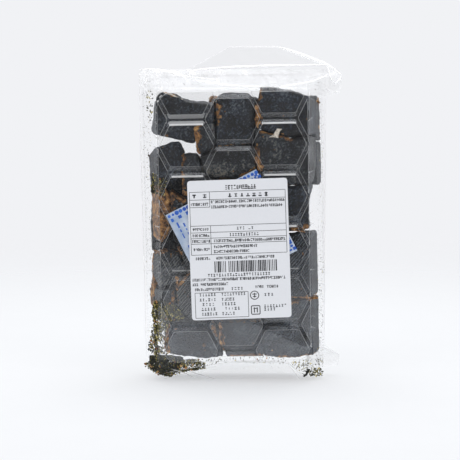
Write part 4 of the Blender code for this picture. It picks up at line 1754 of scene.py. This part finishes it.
rules = [block(sum(TABLE_SIDES) / 2, level, TABLE_SIDES[1] - TABLE_SIDES[0], RULE) for level in TABLE_RULES]
rules += [block(side, (TABLE_RULES[0] + TABLE_RULES[-1]) / 2, RULE, TABLE_RULES[0] - TABLE_RULES[-1])
          for side in TABLE_SIDES]
rules += [block(TABLE_DIVIDE, (top + low) / 2, RULE, top - low)
          for top, low in ((TABLE_RULES[0], 25.6), (TABLE_RULES[2], TABLE_RULES[-1]))]
rules.append(block((TABLE_SIDES[0] + TABLE_DIVIDE) / 2, 25.6, TABLE_DIVIDE - TABLE_SIDES[0], RULE))
rules += [block(sum(BOX_SIDES) / 2, level, BOX_SIDES[1] - BOX_SIDES[0], RULE) for level in BOX_RULES]
rules += [block(side, sum(BOX_RULES) / 2, RULE, BOX_RULES[0] - BOX_RULES[1]) for side in BOX_SIDES]
settle(plates("label_rules", rules, on_label, PRINT_GAUGE, thermal_black))


def frame_outline(across, up, half, corner, wide):
    """A rounded square's band as short plates, or a ring's where the corner is as large as the half."""
    rims = []
    for reach in (half, half - wide):
        radius = max(0.05, corner - (half - reach))
        rim = []
        for side, rise, start in ((1, 1, 0), (-1, 1, 90), (-1, -1, 180), (1, -1, 270)):
            for step in range(7):
                angle = math.radians(start + 15 * step)
                rim.append(
                    (
                        across + side * (reach - radius) + radius * math.cos(angle),
                        up + rise * (reach - radius) + radius * math.sin(angle),
                    )
                )
        rims.append(rim)
    outer, inner = rims
    return [
        (outer[at], outer[(at + 1) % len(outer)], inner[(at + 1) % len(outer)], inner[at])
        for at in range(len(outer))
        if outer[at] != outer[(at + 1) % len(outer)]
    ]


marks = frame_outline(8.0, -27.6, 2.7, 2.7, 0.5)
marks += [block(8.0, -26.9, 2.6, 0.5), block(8.0, -28.3, 2.0, 0.5), block(8.0, -27.6, 0.5, 2.8)]
marks += frame_outline(8.4, -36.4, 2.8, 0.9, 0.55)
marks += [block(7.6, -36.4, 0.6, 3.0), block(9.3, -36.4, 0.6, 3.0), block(8.4, -35.4, 2.6, 0.5)]
settle(plates("label_marks", marks, on_label, PRINT_GAUGE, thermal_black))


def print_tree():
    """Sets upright marks along every line, each its own width and height, with some left out."""
    tree = bpy.data.node_groups.new("printed marks", "GeometryNodeTree")
    tree.interface.new_socket("Lines", in_out="INPUT", socket_type="NodeSocketGeometry")
    for label_name, kind in (
        ("Pitch", "NodeSocketFloat"),
        ("Narrowest", "NodeSocketFloat"),
        ("Widest", "NodeSocketFloat"),
        ("Shortest", "NodeSocketFloat"),
        ("Tallest", "NodeSocketFloat"),
        ("Kept", "NodeSocketFloat"),
        ("Turn", "NodeSocketFloat"),
        ("Seed", "NodeSocketInt"),
        ("Material", "NodeSocketMaterial"),
    ):
        tree.interface.new_socket(label_name, in_out="INPUT", socket_type=kind)
    tree.interface.new_socket("Geometry", in_out="OUTPUT", socket_type="NodeSocketGeometry")
    given = add_node(tree, "NodeGroupInput").outputs
    curves = add_node(tree, "GeometryNodeMeshToCurve", inputs={"Mesh": given["Lines"]})
    spaced = add_node(
        tree,
        "GeometryNodeResampleCurve",
        {"mode": "LENGTH"},
        {"Curve": curves.outputs["Curve"], "Length": given["Pitch"]},
    )
    kept = add_node(
        tree,
        "FunctionNodeRandomValue",
        {"data_type": "BOOLEAN"},
        {"Probability": given["Kept"], "Seed": given["Seed"]},
    )
    widths = add_node(
        tree,
        "FunctionNodeRandomValue",
        {"data_type": "FLOAT"},
        {2: given["Narrowest"], 3: given["Widest"], "Seed": given["Seed"]},
    )
    heights = add_node(
        tree,
        "FunctionNodeRandomValue",
        {"data_type": "FLOAT"},
        {2: given["Shortest"], 3: given["Tallest"], "Seed": 17},
    )
    scale = add_node(
        tree,
        "ShaderNodeCombineXYZ",
        inputs={"X": widths.outputs[1], "Y": PRINT_GAUGE * MM, "Z": heights.outputs[1]},
    )
    turn = add_node(tree, "ShaderNodeCombineXYZ", inputs={"Y": given["Turn"]})
    mark = add_node(tree, "GeometryNodeMeshCube", inputs={"Size": (1, 1, 1)})
    printed = add_node(
        tree,
        "GeometryNodeInstanceOnPoints",
        inputs={
            "Points": spaced.outputs[0],
            "Selection": kept.outputs[3],
            "Instance": mark.outputs["Mesh"],
            "Rotation": turn.outputs[0],
            "Scale": scale.outputs[0],
        },
    )
    real = add_node(tree, "GeometryNodeRealizeInstances", inputs={"Geometry": printed.outputs[0]})
    coated = add_node(
        tree,
        "GeometryNodeSetMaterial",
        inputs={"Geometry": real.outputs[0], "Material": given["Material"]},
    )
    add_node(tree, "NodeGroupOutput", inputs={"Geometry": coated.outputs[0]})
    return tree


# Lines of marks: their level, where they start and end across the label, and each kind's pitch, mark
# widths and heights, and share of marks kept. A row of print is marks at several levels over each other.
ROWS_LARGE = ((36.9, -6.6, 10.2),)
ROWS_NAMES = ((32.2, -25.6, -19.4), (32.2, -4.6, 16.8))
ROWS_SMALL = (
    (28.6, -15.4, 27.0), (27.4, -27.4, -18.0), (25.6, -15.4, 25.6), (12.5, -26.6, -18.4),
    (8.9, -27.0, -18.0), (5.5, -27.4, -17.6), (5.5, -14.6, 26.8), (2.0, -14.6, 10.0), (-0.9, -14.6, 5.4),
    (0.6, -26.6, -18.0), (-4.8, -25.6, -18.0), (-4.8, -13.4, 20.0), (-17.4, -28.0, 26.0),
    (-20.2, -28.0, -8.0), (-23.2, -26.8, -10.6), (-22.6, 9.0, 13.0), (-22.6, 16.0, 21.6),
)
ROWS_FIGURES = (
    (12.6, -0.6, 8.0), (8.9, -6.6, 11.0), (-14.9, -18.6, 17.0), (-23.2, -5.0, 0.6), (-26.4, -11.0, 2.0),
    (-29.4, -11.0, -4.6), (-32.2, -11.0, -4.0), (-35.0, -11.0, -1.6), (-37.9, -11.0, -4.6),
    (-26.4, -24.0, -15.6), (-29.4, -24.0, -15.6), (-32.2, -22.4, -16.6), (-35.0, -23.0, -16.0),
    (-37.9, -23.0, -15.0), (-27.4, 14.4, 18.4), (-34.2, 14.0, 26.0), (-36.2, 14.0, 19.4),
)


def at_levels(rows, levels):
    return tuple((level + lift, start, end) for level, start, end in rows for lift in levels)


PRINT_LINES = {
    "heading": (at_levels(ROWS_LARGE, (-1.0, 0.0, 1.0)), 1.6, (0.6, 1.8), (0.36, 0.8), 0.85, thermal_black),
    "heading_uprights": (at_levels(ROWS_LARGE, (0.0,)), 1.2, (0.36, 0.6), (1.6, 2.7), 0.7, thermal_black),
    "names": (at_levels(ROWS_NAMES, (-0.7, 0.7)), 3.3, (1.3, 2.2), (0.4, 0.9), 0.92, thermal_black),
    "names_uprights": (at_levels(ROWS_NAMES, (0.0,)), 3.3, (0.5, 0.95), (1.9, 2.5), 0.92, thermal_black),
    "small": (at_levels(ROWS_SMALL, (-0.6, 0.0, 0.6)), 1.15, (0.4, 1.25), (0.26, 0.5), 0.84, thermal_black),
    "small_uprights": (at_levels(ROWS_SMALL, (0.0,)), 0.95, (0.22, 0.46), (1.0, 1.9), 0.66, thermal_black),
    "figures": (at_levels(ROWS_FIGURES, (-0.6, 0.6)), 1.6, (0.6, 1.2), (0.32, 0.66), 0.85, thermal_black),
    "figures_uprights": (
        at_levels(ROWS_FIGURES, (0.0,)), 1.6, (0.3, 0.56), (1.1, 1.8), 0.85, thermal_grey
    ),
    "bars": (((-10.0, -14.8, 21.4),), 1.02, (0.28, 0.95), (6.6, 6.7), 0.95, thermal_black),
}
marks_tree = print_tree()
for seed, (name, (rows, pitch, widths, heights, kept, print_ink)) in enumerate(PRINT_LINES.items()):
    solid = bmesh.new()
    for level, start, end in rows:
        ends = [solid.verts.new(on_label(across, level, PRINT_GAUGE / 2)) for across in (start, end)]
        solid.edges.new(ends)
    values = {
        "Pitch": pitch * MM,
        "Narrowest": widths[0] * MM,
        "Widest": widths[1] * MM,
        "Shortest": heights[0] * MM,
        "Tallest": heights[1] * MM,
        "Kept": kept,
        "Turn": -LABEL_TURN,
        "Seed": seed + 1,
        "Material": print_ink,
    }
    printed = grow(f"label_{name}", marks_tree, values, mesh_of("print_lines", solid))
    printed.data.shade_flat()
    settle(printed)


# ---- Floor, light and camera ----
# A pale studio table that fades into a pale backdrop, a large soft light overhead, two soft lights at the
# sides, and a camera that looks a little down on the pack's front.

TABLE_REACH = 1.0  # metres
TABLE_FADE = (0.12, 0.88)
TABLE_LIGHT = 0.43
AIM = Vector((MIDDLE_X - 2.7 * MM, FILM_FRONT, MIDDLE_Z - 1.4 * MM))
VIEW_DOWN = math.radians(5.5)
VIEW_DISTANCE = 1.1
VIEW_HALF = 135.7 * MM  # half of what the camera sees, at the pack's front

# An opal acrylic table, lit softly from below: matt and even, with a faint grain, and clear at its rim so that
# no edge shows.
opal, tree, output = new_material("lit_opal_acrylic_table")
place = add_node(tree, "ShaderNodeTexCoord").outputs["Object"]
grain = add_node(tree, "ShaderNodeTexNoise", inputs={"Vector": place, "Scale": 35.0, "Detail": 4.0})
paint = add_node(tree, "ShaderNodeValToRGB", inputs={"Fac": grain.outputs["Fac"]})
paint.color_ramp.elements[0].color = linear("#C0C1C2")
paint.color_ramp.elements[1].color = linear("#C2C3C4")
top = add_node(tree, "ShaderNodeBsdfDiffuse", inputs={"Color": paint.outputs["Color"]})
lit = add_node(tree, "ShaderNodeEmission", inputs={"Color": linear("#F1F3F6"), "Strength": TABLE_LIGHT})
matt = add_node(tree, "ShaderNodeAddShader", inputs={0: top.outputs[0], 1: lit.outputs[0]})
away = add_node(tree, "ShaderNodeVectorMath", {"operation": "LENGTH"}, {0: place})
rim = add_node(
    tree,
    "ShaderNodeMapRange",
    {"interpolation_type": "SMOOTHSTEP"},
    {"Value": away.outputs["Value"], "From Min": TABLE_FADE[0], "From Max": TABLE_FADE[1]},
)
gone = add_node(tree, "ShaderNodeBsdfTransparent")
faded = add_node(
    tree, "ShaderNodeMixShader", inputs={0: rim.outputs[0], 1: matt.outputs[0], 2: gone.outputs[0]}
)
tree.links.new(faded.outputs[0], output.inputs["Surface"])

solid = bmesh.new()
bmesh.ops.create_circle(solid, cap_ends=True, segments=96, radius=TABLE_REACH)
bmesh.ops.translate(solid, vec=(0, 0, -0.1 * MM), verts=solid.verts)
new_piece("table", mesh_of("table", solid), opal)

studio = bpy.data.worlds.new("studio")
studio.use_nodes = True
tree = studio.node_tree
tree.nodes.clear()
ray = add_node(tree, "ShaderNodeLightPath")
heading = add_node(tree, "ShaderNodeTexCoord").outputs["Generated"]
parts = add_node(tree, "ShaderNodeSeparateXYZ", inputs={0: heading})
round_it = add_node(
    tree,
    "ShaderNodeMapRange",
    {"interpolation_type": "SMOOTHSTEP"},
    {"Value": parts.outputs["Y"], "From Min": -0.95, "From Max": -0.6, "To Min": 0.08, "To Max": 1.0},
)
overhead = add_node(
    tree,
    "ShaderNodeMapRange",
    {"interpolation_type": "SMOOTHSTEP"},
    {"Value": parts.outputs["Z"], "From Min": 0.0, "From Max": 0.5, "To Min": 0.95, "To Max": 1.5},
)
bright = add_node(
    tree, "ShaderNodeMath", {"operation": "MULTIPLY"}, {0: round_it.outputs[0], 1: overhead.outputs[0]}
)
backdrop = add_node(tree, "ShaderNodeBackground", inputs={"Color": linear("#F1F2F5"), "Strength": 1.0})
fill = add_node(tree, "ShaderNodeBackground", inputs={"Color": linear("#F6F7FA"), "Strength": 0.75})
seen = add_node(
    tree, "ShaderNodeBackground", inputs={"Color": linear("#F6F7FA"), "Strength": bright.outputs[0]}
)
soft = add_node(
    tree,
    "ShaderNodeMixShader",
    inputs={0: ray.outputs["Is Glossy Ray"], 1: fill.outputs[0], 2: seen.outputs[0]},
)
light = add_node(
    tree,
    "ShaderNodeMixShader",
    inputs={0: ray.outputs["Is Camera Ray"], 1: soft.outputs[0], 2: backdrop.outputs[0]},
)
add_node(tree, "ShaderNodeOutputWorld", inputs={"Surface": light.outputs[0]})
scene = bpy.context.scene
scene.world = studio
scene.view_settings.view_transform = "Standard"
scene.cycles.transparent_max_bounces = 48

# Each light's name, place and width and height in metres, and power in watts. All point at the pack.
SOFTBOXES = (
    ("top_softbox", (0.0, 0.25, 1.0), (0.7, 0.7), 4.2),
    ("left_softbox", (-0.9, -0.85, 0.45), (0.6, 0.9), 2.3),
    ("right_softbox", (0.9, -0.85, 0.45), (0.6, 0.9), 2.3),
)
for name, place, (wide, tall), power in SOFTBOXES:
    lamp = bpy.data.lights.new(name, "AREA")
    lamp.shape = "RECTANGLE"
    lamp.size = wide
    lamp.size_y = tall
    lamp.energy = power
    box = bpy.data.objects.new(name, lamp)
    scene.collection.objects.link(box)
    box.location = place
    box.rotation_euler = (AIM - Vector(place)).to_track_quat("-Z", "Y").to_euler()
    box.visible_camera = False

view = bpy.data.cameras.new("camera")
view.sensor_width = 36.0
view.lens = view.sensor_width / 2 * VIEW_DISTANCE / VIEW_HALF
view.clip_start = 0.05
camera = bpy.data.objects.new("camera", view)
scene.collection.objects.link(camera)
toward = Vector((0, -math.cos(VIEW_DOWN), math.sin(VIEW_DOWN)))
camera.location = AIM + VIEW_DISTANCE * toward
camera.rotation_euler = (-toward).to_track_quat("-Z", "Y").to_euler()
scene.camera = camera
